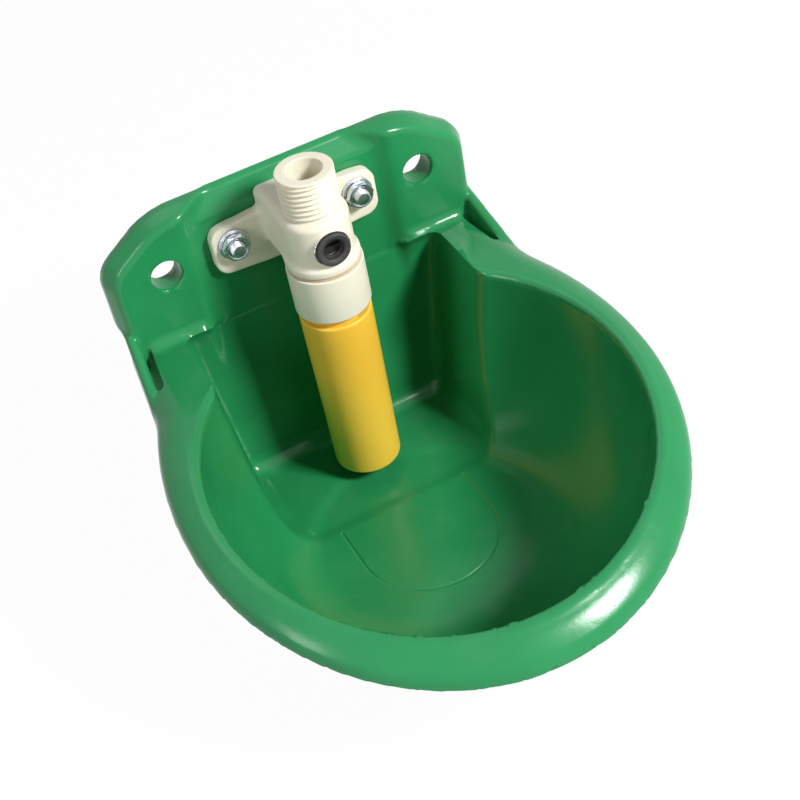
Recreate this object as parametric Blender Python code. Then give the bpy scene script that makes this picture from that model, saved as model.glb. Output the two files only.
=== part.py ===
"""Livestock drinking bowl with a tilting push-tube valve.

A moulded plastic bowl hangs on a wall by its back plate. A plastic valve is bolted to a recess in
the plate: water comes in through its threaded spigot, and an animal that pushes the yellow tube
rocks a stem off a rubber seat, so that water runs down the tube into the bowl.

Metres, +Z up. The origin is on the floor under the middle of the bowl, the wall is on the +Y side,
and a "front" is a distance measured out from the wall.
"""
import math

import bmesh
import bpy
import numpy as np
from mathutils import Matrix, Vector

# Shared by the whole product
CLEARANCE = 0.0003
OVERRUN = 0.004
WELD = 0.00001
TURN = 2 * math.pi

# Bowl rim and skirt
SKIRT_HALF_WIDTH = 0.0885
SKIRT_CENTRE_FRONT = 0.0977
SKIRT_FRONT_REACH = 0.0930
SKIRT_REAR_REACH = 0.1120
SKIRT_BEND_FRONT = 0.0425
SKIRT_END_HALF_WIDTH = 0.0730
SKIRT_END_FRONT = 0.0100
SKIRT_DEPTH = 0.0083
SKIRT_BAND = 0.0030
LIP_WIDTH = 0.0116
LIP_FRONT_WIDTH = 0.01405
LIP_POWER = 2.0
WALL = 0.0030
RIM_RADIUS = 0.0769
RIM_CENTRE_FRONT = 0.09975
RIM_EDGE_ROUND = 0.0016
RIM_EDGE_SHARE = 0.3
RIM_FRONT_HEIGHT = 0.0590
RIM_MIDDLE_FRONT = 0.1000
RIM_MIDDLE_HEIGHT = 0.0760
RIM_REAR_FRONT = 0.0120
RIM_REAR_HEIGHT = 0.0828

# Bowl inside
FOOT = 0.0020
FOOT_WIDTH = 0.0050
FLOOR_THICKNESS = 0.0030
FLOOR_CENTRE_FRONT = 0.0800
FLOOR_HALF_WIDTH = 0.0380
FLOOR_HALF_LENGTH = 0.0420
PANEL_HALF_WIDTH = 0.0269
PANEL_START = 0.0430
PANEL_FRONT = 0.1085
PANEL_LINE_WIDTH = 0.0008
PANEL_LINE_DEPTH = 0.0005

# Niche that the valve tube hangs in
NICHE_TOP_HALF_WIDTH = 0.0535
NICHE_FLOOR_HALF_WIDTH = 0.0450
NICHE_FLOOR_REAR = 0.0100
NICHE_FOOT_ROUND = 0.0070
NICHE_CORNER_ROUND = 0.0050
NICHE_REACH = 0.0620
NICHE_END_LENGTH = 0.0200
NICHE_END_TAPER = 0.0120

# Back plate
PLATE_TOP = 0.1332
PLATE_TOP_HALF_WIDTH = 0.0510
PLATE_SHOULDER_HEIGHT = 0.1175
PLATE_HALF_WIDTH = 0.0732
PLATE_WAIST_HEIGHT = 0.0440
PLATE_FOOT_HALF_WIDTH = 0.0480
PLATE_CORNER_ROUND = 0.0050
PAD_FRONT = 0.00975
PAD_TOP_BEVEL = 0.0022
PAD_SIDE_BEVEL = 0.0028
PAD_BOTTOM_ROUND = 0.0050
RECESS_FRONT = 0.0065
RECESS_HALF_WIDTH = 0.0360
RECESS_MOUTH_HALF_WIDTH = 0.0410
RECESS_TOP = 0.1250
HOLE_SPACING = 0.1024
HOLE_HEIGHT = 0.1103
HOLE_DIAMETER = 0.0120
HOLE_BOSS_DIAMETER = 0.0200
BACK_RIB_THICKNESS = 0.0025
BACK_RIB_PITCH = 0.0240
BACK_RIB_COUNT = 6

# Side struts and the strap slots behind them
STRUT_TOP_HEIGHT = 0.0932
STRUT_FRONT = 0.0332
STRUT_THICKNESS = 0.0032
SLOT_WIDTH = 0.0054
SLOT_END_MARGIN = 0.0020

# Valve body
VALVE_FRONT = 0.0330
SPIGOT_DIAMETER = 0.020955
SPIGOT_TOP = 0.1460
SPIGOT_LIP = 0.0015
SPIGOT_FOOT = 0.1300
SPIGOT_NECK_DIAMETER = 0.0182
SPIGOT_NECK_HEIGHT = 0.0020
INLET_DIAMETER = 0.0135
INLET_FLOOR = 0.1120
BODY_HALF_WIDTH = 0.0123
BODY_SHOULDER = 0.1270
BODY_SHOULDER_ROUND = 0.0030
FLANGE_DIAMETER = 0.0270
FLANGE_BOTTOM = 0.1083
FLANGE_THICKNESS = 0.0030
SLEEVE_DIAMETER = 0.0242
SLEEVE_BOTTOM = 0.0970
NOSE_DIAMETER = 0.0194
NOSE_BOTTOM = 0.0905
CHAMBER_DIAMETER = 0.0120
CHAMBER_TOP = 0.1090
THROAT_DIAMETER = 0.0070
EAR_SPAN = 0.0660
EAR_THICKNESS = 0.0045
EAR_ROOT_BOTTOM = 0.1000
EAR_ROOT_TOP = 0.1220
EAR_TIP_DROP = 0.0015
EAR_ROUND = 0.0050
PORT_HEIGHT = 0.1195
PORT_BOSS_DIAMETER = 0.0142
PORT_BOSS_FRONT = 0.0457
PORT_SOCKET_DIAMETER = 0.0132
PORT_SOCKET_DEPTH = 0.0020
PORT_BORE_DIAMETER = 0.0080

# Valve fixings
STUD_SPACING = 0.0500
STUD_HEIGHT = 0.1133
STUD_DIAMETER = 0.0060
STUD_FREE_END = 0.0032
BOLT_HEAD_DIAMETER = 0.0110
BOLT_HEAD_THICKNESS = 0.0022
WASHER_DIAMETER = 0.0120
WASHER_THICKNESS = 0.0009
NUT_FLATS = 0.0097
NUT_THICKNESS = 0.0046
NUT_CHAMFER = 0.0006

# Flow port
GROMMET_LENGTH = 0.0033
GROMMET_ROUND = 0.0005
SCREW_FACE_INSET = 0.0040
SCREW_LENGTH = 0.0052
SCREW_CONE_LENGTH = 0.0020
SCREW_TIP_DIAMETER = 0.0024
SCREW_CONE_SHARE = 0.8
SCREW_SLOT_WIDTH = 0.0012
SCREW_SLOT_DEPTH = 0.0010
SCREW_GROOVE_START = 0.0018
SCREW_GROOVE_LENGTH = 0.0016
RING_SECTION = 0.0009

# Inlet strainer
STRAINER_TOP = 0.1285
STRAINER_FLANGE = 0.0012
STRAINER_DEPTH = 0.0046
STRAINER_WALL = 0.0008
STRAINER_CUP_DIAMETER = 0.0096
STRAINER_HOLE_DIAMETER = 0.0016
STRAINER_HOLE_CIRCLE = 0.0052
STRAINER_HOLES = 6

# Collar nut, its gasket and the tilting tube's seat
COLLAR_DIAMETER = 0.0284
COLLAR_BOTTOM = 0.0885
COLLAR_ROUND = 0.0012
COLLAR_MOUTH_DIAMETER = 0.0252
GASKET_THICKNESS = 0.0006
GASKET_DIAMETER = 0.0266
PIVOT_HEIGHT = 0.0935
BEAD_RADIUS = 0.0130
BEAD_HALF_HEIGHT = 0.0015

# Push tube
TUBE_TOP_DIAMETER = 0.0272
TUBE_FOOT_DIAMETER = 0.0260
TUBE_TOP = 0.0855
TUBE_BOTTOM = 0.0110
TUBE_WALL = 0.0017
FINGER_DIAMETER = 0.0238
FINGER_WALL = 0.0013
FINGER_COUNT = 2
FINGER_GAP_DEGREES = 50.0
FINGER_TURN_DEGREES = -45.5
SHOULDER_THICKNESS = 0.0014
WEB_HEIGHT = 0.0035
WEB_THICKNESS = 0.0016
HUB_DIAMETER = 0.0060

# Valve stem, seat and spring
STEM_DIAMETER = 0.0024
HEAD_DIAMETER = 0.0080
HEAD_THICKNESS = 0.0012
HEAD_LIFT = 0.0003
DOME_RADIUS = 0.0034
SEAT_BORE_DIAMETER = 0.0040
SEAT_LIP_DIAMETER = 0.0054
SEAT_DIAMETER = 0.0096
SEAT_STEP = 0.0008
SEAT_THICKNESS = 0.0018
INSERT_DIAMETER = 0.0150
INSERT_FLOOR = 0.0012
INSERT_HEIGHT = 0.0052
RETAINER_DIAMETER = 0.0100
RETAINER_THICKNESS = 0.0010
SPRING_MEAN_DIAMETER = 0.0084
SPRING_WIRE_DIAMETER = 0.0008
SPRING_TURNS = 5
SPRING_ROCK_CLEARANCE = 0.0005
STEM_NUT_FLATS = 0.0046
STEM_NUT_THICKNESS = 0.0018
STEM_FREE_END = 0.0006

# Places that follow from the sizes above
WALL_Y = (SKIRT_CENTRE_FRONT + SKIRT_FRONT_REACH) / 2
FLOOR_HEIGHT = FOOT + FLOOR_THICKNESS
VALVE_Y = WALL_Y - VALVE_FRONT
EAR_BACK = RECESS_FRONT + CLEARANCE
EAR_FRONT = EAR_BACK + EAR_THICKNESS
RIM_TOP_FRONT = RIM_CENTRE_FRONT + RIM_RADIUS

# Point counts
SKIRT_STEPS = 14
CAVITY_SEGMENTS = 64
CAVITY_RINGS = 9
ROUND_SEGMENTS = 40
SMALL_SEGMENTS = 20
ARC_STEPS = 4
SPHERE_STEPS = 4
SPRING_STEPS_PER_TURN = 14
SPRING_SIDES = 6


def material(name, colour, roughness, metallic=0.0):
    """A plain surface with one colour, roughness and metallic value."""
    look = bpy.data.materials.new(name)
    look.use_nodes = True
    shader = look.node_tree.nodes["Principled BSDF"]
    shader.inputs["Base Color"].default_value = (*colour, 1.0)
    shader.inputs["Roughness"].default_value = roughness
    shader.inputs["Metallic"].default_value = metallic
    look.diffuse_color = (*colour, 1.0)
    return look


def object_from(name, shape):
    """An object that takes over an edit mesh, with every face turned outward."""
    bmesh.ops.recalc_face_normals(shape, faces=shape.faces)
    mesh = bpy.data.meshes.new(name)
    shape.to_mesh(mesh)
    shape.free()
    piece = bpy.data.objects.new(name, mesh)
    bpy.context.collection.objects.link(piece)
    return piece


def piece_from(name, vertices, faces):
    """An object from points and faces, with doubled points merged."""
    shape = bmesh.new()
    corners = [shape.verts.new(tuple(map(float, vertex))) for vertex in vertices]
    for face in faces:
        shape.faces.new([corners[index] for index in face])
    bmesh.ops.remove_doubles(shape, verts=shape.verts, dist=WELD)
    return object_from(name, shape)


def loft(name, rings, ladder=False):
    """A closed skin over rings of equal point counts.

    The two ends are single faces, or with ladder=True rungs between the ring's two mirrored halves.
    """
    count = len(rings[0])
    vertices = [point for ring in rings for point in ring]
    faces = []
    for level in range(len(rings) - 1):
        low, high = level * count, (level + 1) * count
        for i in range(count):
            j = (i + 1) % count
            faces.append((low + i, low + j, high + j, high + i))
    for start in (0, (len(rings) - 1) * count):
        if ladder:
            faces += [(start + i, start + i + 1, start + count - 2 - i, start + count - 1 - i)
                      for i in range(count // 2 - 1)]
        else:
            faces.append(tuple(range(start, start + count)))
    return piece_from(name, vertices, faces)


def prism(name, outline, low, high):
    """A block standing on a plan outline between two heights."""
    return loft(name, [[(x, y, z) for x, y in outline] for z in (low, high)])


def turned(name, profile, segments=ROUND_SEGMENTS):
    """A piece turned about the vertical axis from a closed outline of (radius, height)."""
    shape = bmesh.new()
    corners = [shape.verts.new((radius, 0.0, height)) for radius, height in profile]
    edges = [shape.edges.new((corners[i - 1], corners[i])) for i in range(len(corners))
             if profile[i - 1][0] > WELD or profile[i][0] > WELD]
    bmesh.ops.spin(shape, geom=corners + edges, cent=(0, 0, 0), axis=(0, 0, 1), dvec=(0, 0, 0),
                   angle=TURN, steps=segments, use_merge=True)
    bmesh.ops.remove_doubles(shape, verts=shape.verts, dist=WELD)
    bmesh.ops.dissolve_degenerate(shape, edges=shape.edges, dist=WELD)
    return moved(object_from(name, shape), Matrix.Rotation(TURN / segments / 2, 4, "Z"))


def block(name, low, high):
    """A box between two corners."""
    outline = [(low[0], low[1]), (high[0], low[1]), (high[0], high[1]), (low[0], high[1])]
    return prism(name, outline, low[2], high[2])


def drum(name, radius, low, high, segments=ROUND_SEGMENTS):
    """A plain round bar between two heights."""
    return turned(name, [(0, low), (radius, low), (radius, high), (0, high)], segments)


def hexagon_bar(name, flats, low, high, chamfer):
    """A hexagonal bar with its upper corners turned down to a round chamfer."""
    corner = flats / math.sqrt(3)
    outline = [(corner * math.cos(TURN * i / 6), corner * math.sin(TURN * i / 6)) for i in range(6)]
    bar = prism(name, outline, low, high)
    cone = turned(name + "_cone", [(0, low - OVERRUN), (corner + OVERRUN, low - OVERRUN),
                                   (corner + OVERRUN, high - chamfer - OVERRUN / 2),
                                   (corner, high - chamfer), (flats / 2 - chamfer, high),
                                   (flats / 2 - chamfer, high + OVERRUN), (0, high + OVERRUN)], SMALL_SEGMENTS)
    return combine(bar, cone, "INTERSECT")


def moved(piece, turn=None, shift=(0, 0, 0)):
    """Turns and then shifts the mesh itself."""
    if turn:
        piece.data.transform(turn)
    piece.data.transform(Matrix.Translation(Vector(shift)))
    return piece


def facing_front(piece, x, front, height):
    """Lays a vertical piece down so that its foot is at a front distance and it points out from the wall."""
    return moved(piece, Matrix.Rotation(TURN / 4, 4, "X"), (x, WALL_Y - front, height))


def combine(piece, other, operation):
    """Joins, cuts or keeps what is common, and drops the second piece."""
    change = piece.modifiers.new(operation.title(), "BOOLEAN")
    change.operation = operation
    change.solver = "EXACT"
    change.object = other
    bpy.context.view_layer.update()
    graph = bpy.context.evaluated_depsgraph_get()
    result = bpy.data.meshes.new_from_object(piece.evaluated_get(graph))
    piece.modifiers.clear()
    piece.data = result
    bpy.data.objects.remove(other)
    return piece


def join(piece, *others):
    """Makes one solid of overlapping pieces."""
    for other in others:
        combine(piece, other, "UNION")
    return piece


def cut(piece, *others):
    """Takes the other pieces out of the first."""
    for other in others:
        combine(piece, other, "DIFFERENCE")
    return piece


def finish(piece, look, name, origin=(0, 0, 0), parent=None):
    """Names a piece, gives it its surface and puts its origin where it turns or stands."""
    piece.name = name
    piece.data.name = name
    piece.data.transform(Matrix.Translation(-Vector(origin)))
    piece.location = origin
    if parent:
        piece.parent = parent
        piece.location = Vector(origin) - parent.location
    piece.data.materials.clear()
    piece.data.materials.append(look)
    piece.data.shade_smooth()
    piece.data.set_sharp_from_angle(angle=math.radians(32))
    return piece


def arc(centre, radius, start, end, steps=ARC_STEPS):
    """Points along a circular arc; the angles are in degrees."""
    angles = np.radians(np.linspace(start, end, steps + 1))
    return [(centre[0] + radius * math.cos(a), centre[1] + radius * math.sin(a)) for a in angles]


def rim_height(front):
    """Height of the rim's inner edge: a curve through its front, middle and rear heights."""
    places = (RIM_TOP_FRONT, RIM_MIDDLE_FRONT, RIM_REAR_FRONT)
    heights = (RIM_FRONT_HEIGHT, RIM_MIDDLE_HEIGHT, RIM_REAR_HEIGHT)
    total = 0.0
    for i, place in enumerate(places):
        weight = 1.0
        for j, other in enumerate(places):
            if j != i:
                weight = weight * (front - other) / (place - other)
        total = total + weight * heights[i]
    return total


def skirt_half(lip_share, inset):
    """Right half of the skirt's plan from the wall to the front, as (x, front).

    It runs straight to the bend, where the oval starts, and its third point is the strut's foot.
    lip_share moves it in by a share of the lip's width, and inset by a distance.
    """
    rear_limit = math.asin((SKIRT_CENTRE_FRONT - SKIRT_BEND_FRONT) / SKIRT_REAR_REACH)
    lean = (SKIRT_HALF_WIDTH * math.cos(rear_limit) - SKIRT_END_HALF_WIDTH) / (SKIRT_BEND_FRONT - SKIRT_END_FRONT)
    half = []
    for front, run in ((RECESS_FRONT / 2, 0.0), (SKIRT_END_FRONT, 0.0), (STRUT_FRONT, STRUT_FRONT - SKIRT_END_FRONT)):
        half.append((SKIRT_END_HALF_WIDTH + lean * run - lip_share * LIP_WIDTH - inset, front))
    angles = list(np.linspace(-rear_limit, 0, SKIRT_STEPS // 2 + 1))
    angles += list(np.linspace(0, TURN / 4, SKIRT_STEPS + 1))[1:]
    for angle in angles:
        reach = SKIRT_REAR_REACH if angle < 0 else SKIRT_FRONT_REACH
        normal = np.array([math.cos(angle) / SKIRT_HALF_WIDTH, math.sin(angle) / reach])
        normal = normal / np.linalg.norm(normal)
        ahead = math.sin(angle) ** 2 if angle > 0 else 0.0
        width = LIP_WIDTH + (LIP_FRONT_WIDTH - LIP_WIDTH) * ahead
        shift = lip_share * width + inset
        half.append((SKIRT_HALF_WIDTH * math.cos(angle) - normal[0] * shift,
                     SKIRT_CENTRE_FRONT + reach * math.sin(angle) - normal[1] * shift))
    return half


def skirt_ring(lip_share, drop, inset=0.0, lowered=0.0):
    """One closed ring of the rim, mirrored, at a drop below the height of the rim's inner edge."""
    right = [(x, WALL_Y - front, rim_height(front) - drop - lowered) for x, front in skirt_half(lip_share, inset)]
    left = [(-x, y, z) for x, y, z in reversed(right)]
    return right[:-1] + [(WELD * 10, *right[-1][1:]), (-WELD * 10, *left[0][1:])] + left[1:]


def lip_rings(inset=0.0, lowered=0.0):
    """The rim's section: a short upright skirt, a crease, then a lip that rises and flattens inward."""
    rise = SKIRT_DEPTH - SKIRT_BAND
    rings = [skirt_ring(0.0, SKIRT_DEPTH + (OVERRUN if inset else 0.0), inset, lowered),
             skirt_ring(0.0, rise, inset, lowered)]
    for lip_share in np.linspace(0, 1, ARC_STEPS + 1)[1:]:
        rings.append(skirt_ring(lip_share, rise * (1 - lip_share) ** LIP_POWER, inset * (1 - lip_share), lowered))
    return rings


def cavity_ring(phase, grown=0.0):
    """A level of the bowl's inside: a quarter ellipse from the floor's edge up to the round rim."""
    spread, climb = math.sin(phase), 1 - math.cos(phase)
    ring = []
    for index in range(CAVITY_SEGMENTS):
        angle = TURN * (index + 0.5) / CAVITY_SEGMENTS
        side, ahead = math.sin(angle), math.cos(angle)
        x = (FLOOR_HALF_WIDTH + (RIM_RADIUS - FLOOR_HALF_WIDTH) * spread + grown) * side
        front = (FLOOR_CENTRE_FRONT + (RIM_CENTRE_FRONT - FLOOR_CENTRE_FRONT) * spread
                 + (FLOOR_HALF_LENGTH + (RIM_RADIUS - FLOOR_HALF_LENGTH) * spread + grown) * ahead)
        top = rim_height(RIM_CENTRE_FRONT + RIM_RADIUS * ahead)
        ring.append((x, WALL_Y - front, FLOOR_HEIGHT + (top - FLOOR_HEIGHT) * climb))
    return ring


def raised(ring, lift, grown=0.0):
    """A copy of a ring, lifted, and spread about the rim's centre."""
    centre_y = WALL_Y - RIM_CENTRE_FRONT
    spread = 1 + grown / RIM_RADIUS
    return [(x * spread, centre_y + (y - centre_y) * spread, z + lift) for x, y, z in ring]


def bowl_inside():
    """Everything that the round bowl holds, with a rounded edge at the rim."""
    phases = np.linspace(0, TURN / 4, CAVITY_RINGS + 1)
    rings = [cavity_ring(phase) for phase in phases[:-1]]
    rim = cavity_ring(phases[-1])
    rings.append(raised(rim, -RIM_EDGE_ROUND))
    rings.append(raised(rim, -RIM_EDGE_ROUND * RIM_EDGE_SHARE, RIM_EDGE_ROUND * RIM_EDGE_SHARE))
    rings.append(raised(rim, WELD, RIM_EDGE_ROUND))
    rings.append(raised(rim, OVERRUN, RIM_EDGE_ROUND))
    return loft("bowl_inside", rings, ladder=True)


def bowl_outside():
    """The bowl's outer form, one wall bigger than its inside, standing on the base."""
    phases = np.linspace(0, TURN / 4, CAVITY_RINGS + 1)
    rings = [cavity_ring(phase, WALL * math.sin(phase)) for phase in phases]
    rings = [[(x, y, z - WALL * math.cos(phase)) for x, y, z in ring] for ring, phase in zip(rings, phases)]
    rings[-1] = raised(rings[-1], -WALL / 2)
    foot = [(x, y, 0.0) for x, y, z in rings[0]]
    return loft("bowl_outside", [foot] + rings, ladder=True)


def niche_ring(height, grown=0.0):
    """One level of the niche: rounded rear corners and ends that curve in, deeper and wider higher up."""
    share = (height - FLOOR_HEIGHT) / (RIM_REAR_HEIGHT - FLOOR_HEIGHT)
    half = NICHE_FLOOR_HALF_WIDTH + (NICHE_TOP_HALF_WIDTH - NICHE_FLOOR_HALF_WIDTH) * share + grown
    rear = NICHE_FLOOR_REAR + (RECESS_FRONT - NICHE_FLOOR_REAR) * share - grown
    into = max(0.0, FLOOR_HEIGHT + NICHE_FOOT_ROUND - height)
    creep = NICHE_FOOT_ROUND - math.sqrt(max(0.0, NICHE_FOOT_ROUND ** 2 - into ** 2))
    half, rear = half - creep, rear + creep
    corner = (half - NICHE_CORNER_ROUND, rear + NICHE_CORNER_ROUND)
    plan = arc(corner, NICHE_CORNER_ROUND, 270, 360)
    plan += [(half - NICHE_END_TAPER * (1 - math.cos(turn)), NICHE_REACH - NICHE_END_LENGTH * (1 - math.sin(turn)))
             for turn in np.linspace(0, TURN / 4, ARC_STEPS + 1)]
    right = [(x, WALL_Y - front, height) for x, front in plan]
    return right + [(-x, y, z) for x, y, z in reversed(right)]


def niche(name, low, high, grown=0.0):
    """The niche's hollow, or its outer form when grown by the wall."""
    rounded = [FLOOR_HEIGHT + NICHE_FOOT_ROUND * (1 - math.cos(a)) for a in np.linspace(0, TURN / 4, ARC_STEPS + 1)]
    if grown:
        rounded = [FLOOR_HEIGHT + NICHE_FOOT_ROUND]
    rings = [niche_ring(height, grown) for height in rounded] + [niche_ring(high, grown)]
    if grown:
        rings.insert(0, [(x, y, low) for x, y, z in rings[0]])
    return loft(name, rings)


def plate_outline(shrink_top=0.0, shrink_side=0.0):
    """The back plate's front view: a flat top with cut corners, upright sides and a tapering foot."""
    top = PLATE_TOP - shrink_top
    half = PLATE_HALF_WIDTH - shrink_side
    shoulder = PLATE_SHOULDER_HEIGHT - shrink_top / 2
    corner = PLATE_TOP_HALF_WIDTH - shrink_side / 2
    run = PLATE_CORNER_ROUND
    fall = run * (top - shoulder) / (half - corner)
    right = [(PLATE_FOOT_HALF_WIDTH - shrink_side, 0.0), (half, PLATE_WAIST_HEIGHT), (half, shoulder - run),
             (half - run / 3, shoulder + fall / 3), (corner + run / 2, top - fall / 2),
             (corner - run / 2, top)]
    return right + [(-x, z) for x, z in reversed(right)]


def upright(name, outline, back, front):
    """A block with a front-view outline (x, height) between two distances out from the wall."""
    return loft(name, [[(x, WALL_Y - place, z) for x, z in outline] for place in (back, front)])


def back_plate():
    """The plate from its wall edge to its pads, with bevelled edges."""
    edge = plate_outline()
    face = plate_outline(PAD_TOP_BEVEL, PAD_SIDE_BEVEL)
    rings = [[(x, WALL_Y - front, z) for x, z in outline]
             for outline, front in ((edge, 0.0), (edge, PAD_FRONT / 3), (face, PAD_FRONT))]
    return loft("back_plate", rings)


def recess():
    """The shallow seat for the valve: slanted sides, and a top that slopes back to the wall."""
    beyond = PAD_FRONT + OVERRUN
    low = RIM_REAR_HEIGHT - OVERRUN
    top = PLATE_TOP + OVERRUN
    back = -OVERRUN * RECESS_FRONT / (PLATE_TOP - RECESS_TOP)
    rings = []
    for side in (-1, 1):
        stations = [(RECESS_MOUTH_HALF_WIDTH + OVERRUN / 2, PAD_FRONT + WALL / 2), (RECESS_HALF_WIDTH, RECESS_FRONT)]
        for half, seat in stations if side < 0 else reversed(stations):
            ahead = seat - RECESS_FRONT
            rings.append([(side * half, WALL_Y - front, z) for front, z in
                          ((seat, low), (seat, RECESS_TOP + ahead), (back + ahead, top + ahead),
                           (beyond, top + ahead), (beyond, low))])
    return loft("recess", rings)


def back_pocket():
    """The hollow behind the plate, leaving its edge wall, the hole bosses and the ribs."""
    outline = plate_outline(WALL, WALL)
    shallow = upright("pocket", outline, -OVERRUN, RECESS_FRONT - WALL)
    lift = OVERRUN / 2
    pad_low = RIM_REAR_HEIGHT + WALL
    for side in (-1, 1):
        inner = side * (RECESS_MOUTH_HALF_WIDTH + WALL + CLEARANCE)
        outer = side * (PLATE_HALF_WIDTH - PAD_SIDE_BEVEL - WALL)
        outline = [(inner, pad_low), (outer, pad_low), (outer, PLATE_SHOULDER_HEIGHT - WALL),
                   (side * PLATE_TOP_HALF_WIDTH, PLATE_TOP - PAD_TOP_BEVEL - WALL),
                   (inner, PLATE_TOP - PAD_TOP_BEVEL - WALL)]
        join(shallow, upright("pad_pocket", outline, RECESS_FRONT - WALL - lift, PAD_FRONT - WALL))
    deep = PAD_FRONT
    for side in (-1, 1):
        boss = drum("boss", HOLE_BOSS_DIAMETER / 2, -OVERRUN * 2, deep + OVERRUN, SMALL_SEGMENTS)
        cut(shallow, facing_front(boss, side * HOLE_SPACING / 2, 0.0, HOLE_HEIGHT))
    ridge_half = RECESS_MOUTH_HALF_WIDTH + WALL
    cut(shallow, block("ridge", (-ridge_half, WALL_Y - deep - OVERRUN, RECESS_TOP - WALL / 2),
                       (ridge_half, WALL_Y + OVERRUN * 2, PLATE_TOP + OVERRUN)))
    for index in range(BACK_RIB_COUNT):
        middle = (index - (BACK_RIB_COUNT - 1) / 2) * BACK_RIB_PITCH
        cut(shallow, block("rib", (middle - BACK_RIB_THICKNESS / 2, WALL_Y - deep - OVERRUN, -OVERRUN),
                           (middle + BACK_RIB_THICKNESS / 2, WALL_Y + OVERRUN * 2, RIM_REAR_HEIGHT)))
    return shallow


def side_strut(side):
    """The upright web beside the plate that rises from the rim, with a sloping top edge."""
    inner = STRUT_THICKNESS
    half = skirt_half(0.0, 0.0)
    back, foot = half[0], half[2]
    plan = [(back[0], SKIRT_END_FRONT / 2), (foot[0], foot[1] + WELD), (foot[0] - inner, foot[1] + WELD),
            (back[0] - inner, SKIRT_END_FRONT / 2)]
    low = [(side * x, WALL_Y - front, RIM_REAR_HEIGHT - SKIRT_DEPTH) for x, front in plan]
    tops = (STRUT_TOP_HEIGHT, RIM_REAR_HEIGHT - SKIRT_DEPTH / 2, RIM_REAR_HEIGHT - SKIRT_DEPTH / 2, STRUT_TOP_HEIGHT)
    high = [(x, y, top) for (x, y, z), top in zip(low, tops)]
    return loft("side_strut", [low, high])


def strap_slot(side):
    """The slot down through the ledge, just inside the strut, with a round front end."""
    half = skirt_half(0.0, 0.0)
    back, foot = half[0], half[2]
    lean = (foot[0] - back[0]) / (foot[1] - SKIRT_END_FRONT)
    start = PAD_FRONT + SLOT_END_MARGIN / 4
    end = foot[1] - SLOT_END_MARGIN
    outer_start = back[0] + lean * (start - SKIRT_END_FRONT) - STRUT_THICKNESS
    outer_end = back[0] + lean * (end - SKIRT_END_FRONT) - STRUT_THICKNESS
    tip = SLOT_WIDTH / 3
    plan = [(outer_start, start), (outer_end, end), (outer_end - tip, end), (outer_end - SLOT_WIDTH, end - SLOT_WIDTH),
            (outer_start - SLOT_WIDTH, start + tip * 2), (outer_start - SLOT_WIDTH + tip, start)]
    outline = [(side * x, WALL_Y - front) for x, front in plan]
    return prism("strap_slot", outline, RIM_REAR_HEIGHT - SKIRT_DEPTH * 2, STRUT_TOP_HEIGHT + OVERRUN)


def pad_foot_fillet(side):
    """The hollow round between a pad's foot and the ledge."""
    size = PAD_BOTTOM_ROUND
    base = RIM_REAR_HEIGHT
    back = PAD_FRONT - WALL / 2
    profile = [(back, base - WALL / 2), (PAD_FRONT + size, base - WALL / 2)]
    profile += [(PAD_FRONT + size - size * math.sin(a), base + size - size * math.cos(a))
                for a in np.linspace(0, TURN / 4, ARC_STEPS + 1)]
    profile += [(back, base + size)]
    ends = (NICHE_TOP_HALF_WIDTH - WELD, PLATE_HALF_WIDTH - PAD_SIDE_BEVEL - WALL / 2)
    return loft("pad_foot_fillet", [[(side * x, WALL_Y - front, z) for front, z in profile] for x in ends])


def panel_line():
    """The fine U-shaped line in the floor, open at the niche."""
    rings = []
    for half in (PANEL_HALF_WIDTH, PANEL_HALF_WIDTH - PANEL_LINE_WIDTH):
        centre = PANEL_FRONT - PANEL_HALF_WIDTH
        path = [(half, PANEL_START)] + arc((0, centre), half, 0, 180, ARC_STEPS * 3) + [(-half, PANEL_START)]
        rings.append([(x, WALL_Y - front) for x, front in path])
    outline = rings[0] + list(reversed(rings[1]))
    return prism("panel_line", outline, FLOOR_HEIGHT - PANEL_LINE_DEPTH, FLOOR_HEIGHT + OVERRUN)


def bowl_shell(look):
    """The moulded bowl: rim, bowl, niche, ledges, struts and back plate in one piece."""
    shell = loft("bowl_shell", lip_rings(), ladder=True)
    cut(shell, loft("rim_hollow", lip_rings(WALL, WALL), ladder=True))
    join(shell, bowl_outside(), niche("niche_outside", 0.0, RIM_REAR_HEIGHT - WALL / 2, WALL), back_plate())
    join(shell, side_strut(-1), side_strut(1), pad_foot_fillet(-1), pad_foot_fillet(1))
    cut(shell, bowl_inside(), niche("niche_inside", FLOOR_HEIGHT, RIM_REAR_HEIGHT + WELD), recess(), back_pocket())
    cut(shell, strap_slot(-1), strap_slot(1), panel_line())
    for side in (-1, 1):
        hole = drum("wall_hole", HOLE_DIAMETER / 2, -OVERRUN, PAD_FRONT + OVERRUN, SMALL_SEGMENTS + 4)
        cut(shell, facing_front(hole, side * HOLE_SPACING / 2, 0.0, HOLE_HEIGHT))
        bore = drum("stud_hole", STUD_DIAMETER / 2 + CLEARANCE, -OVERRUN, RECESS_FRONT + OVERRUN, SMALL_SEGMENTS)
        cut(shell, facing_front(bore, side * STUD_SPACING / 2, 0.0, STUD_HEIGHT))
    under = [(x, y, z) for x, y, z in cavity_ring(0.0, -FOOT_WIDTH)]
    cut(shell, loft("foot_hollow", [[(x, y, z) for x, y, _ in under] for z in (-OVERRUN, FOOT)]))
    return finish(shell, look, "bowl_shell")


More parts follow.
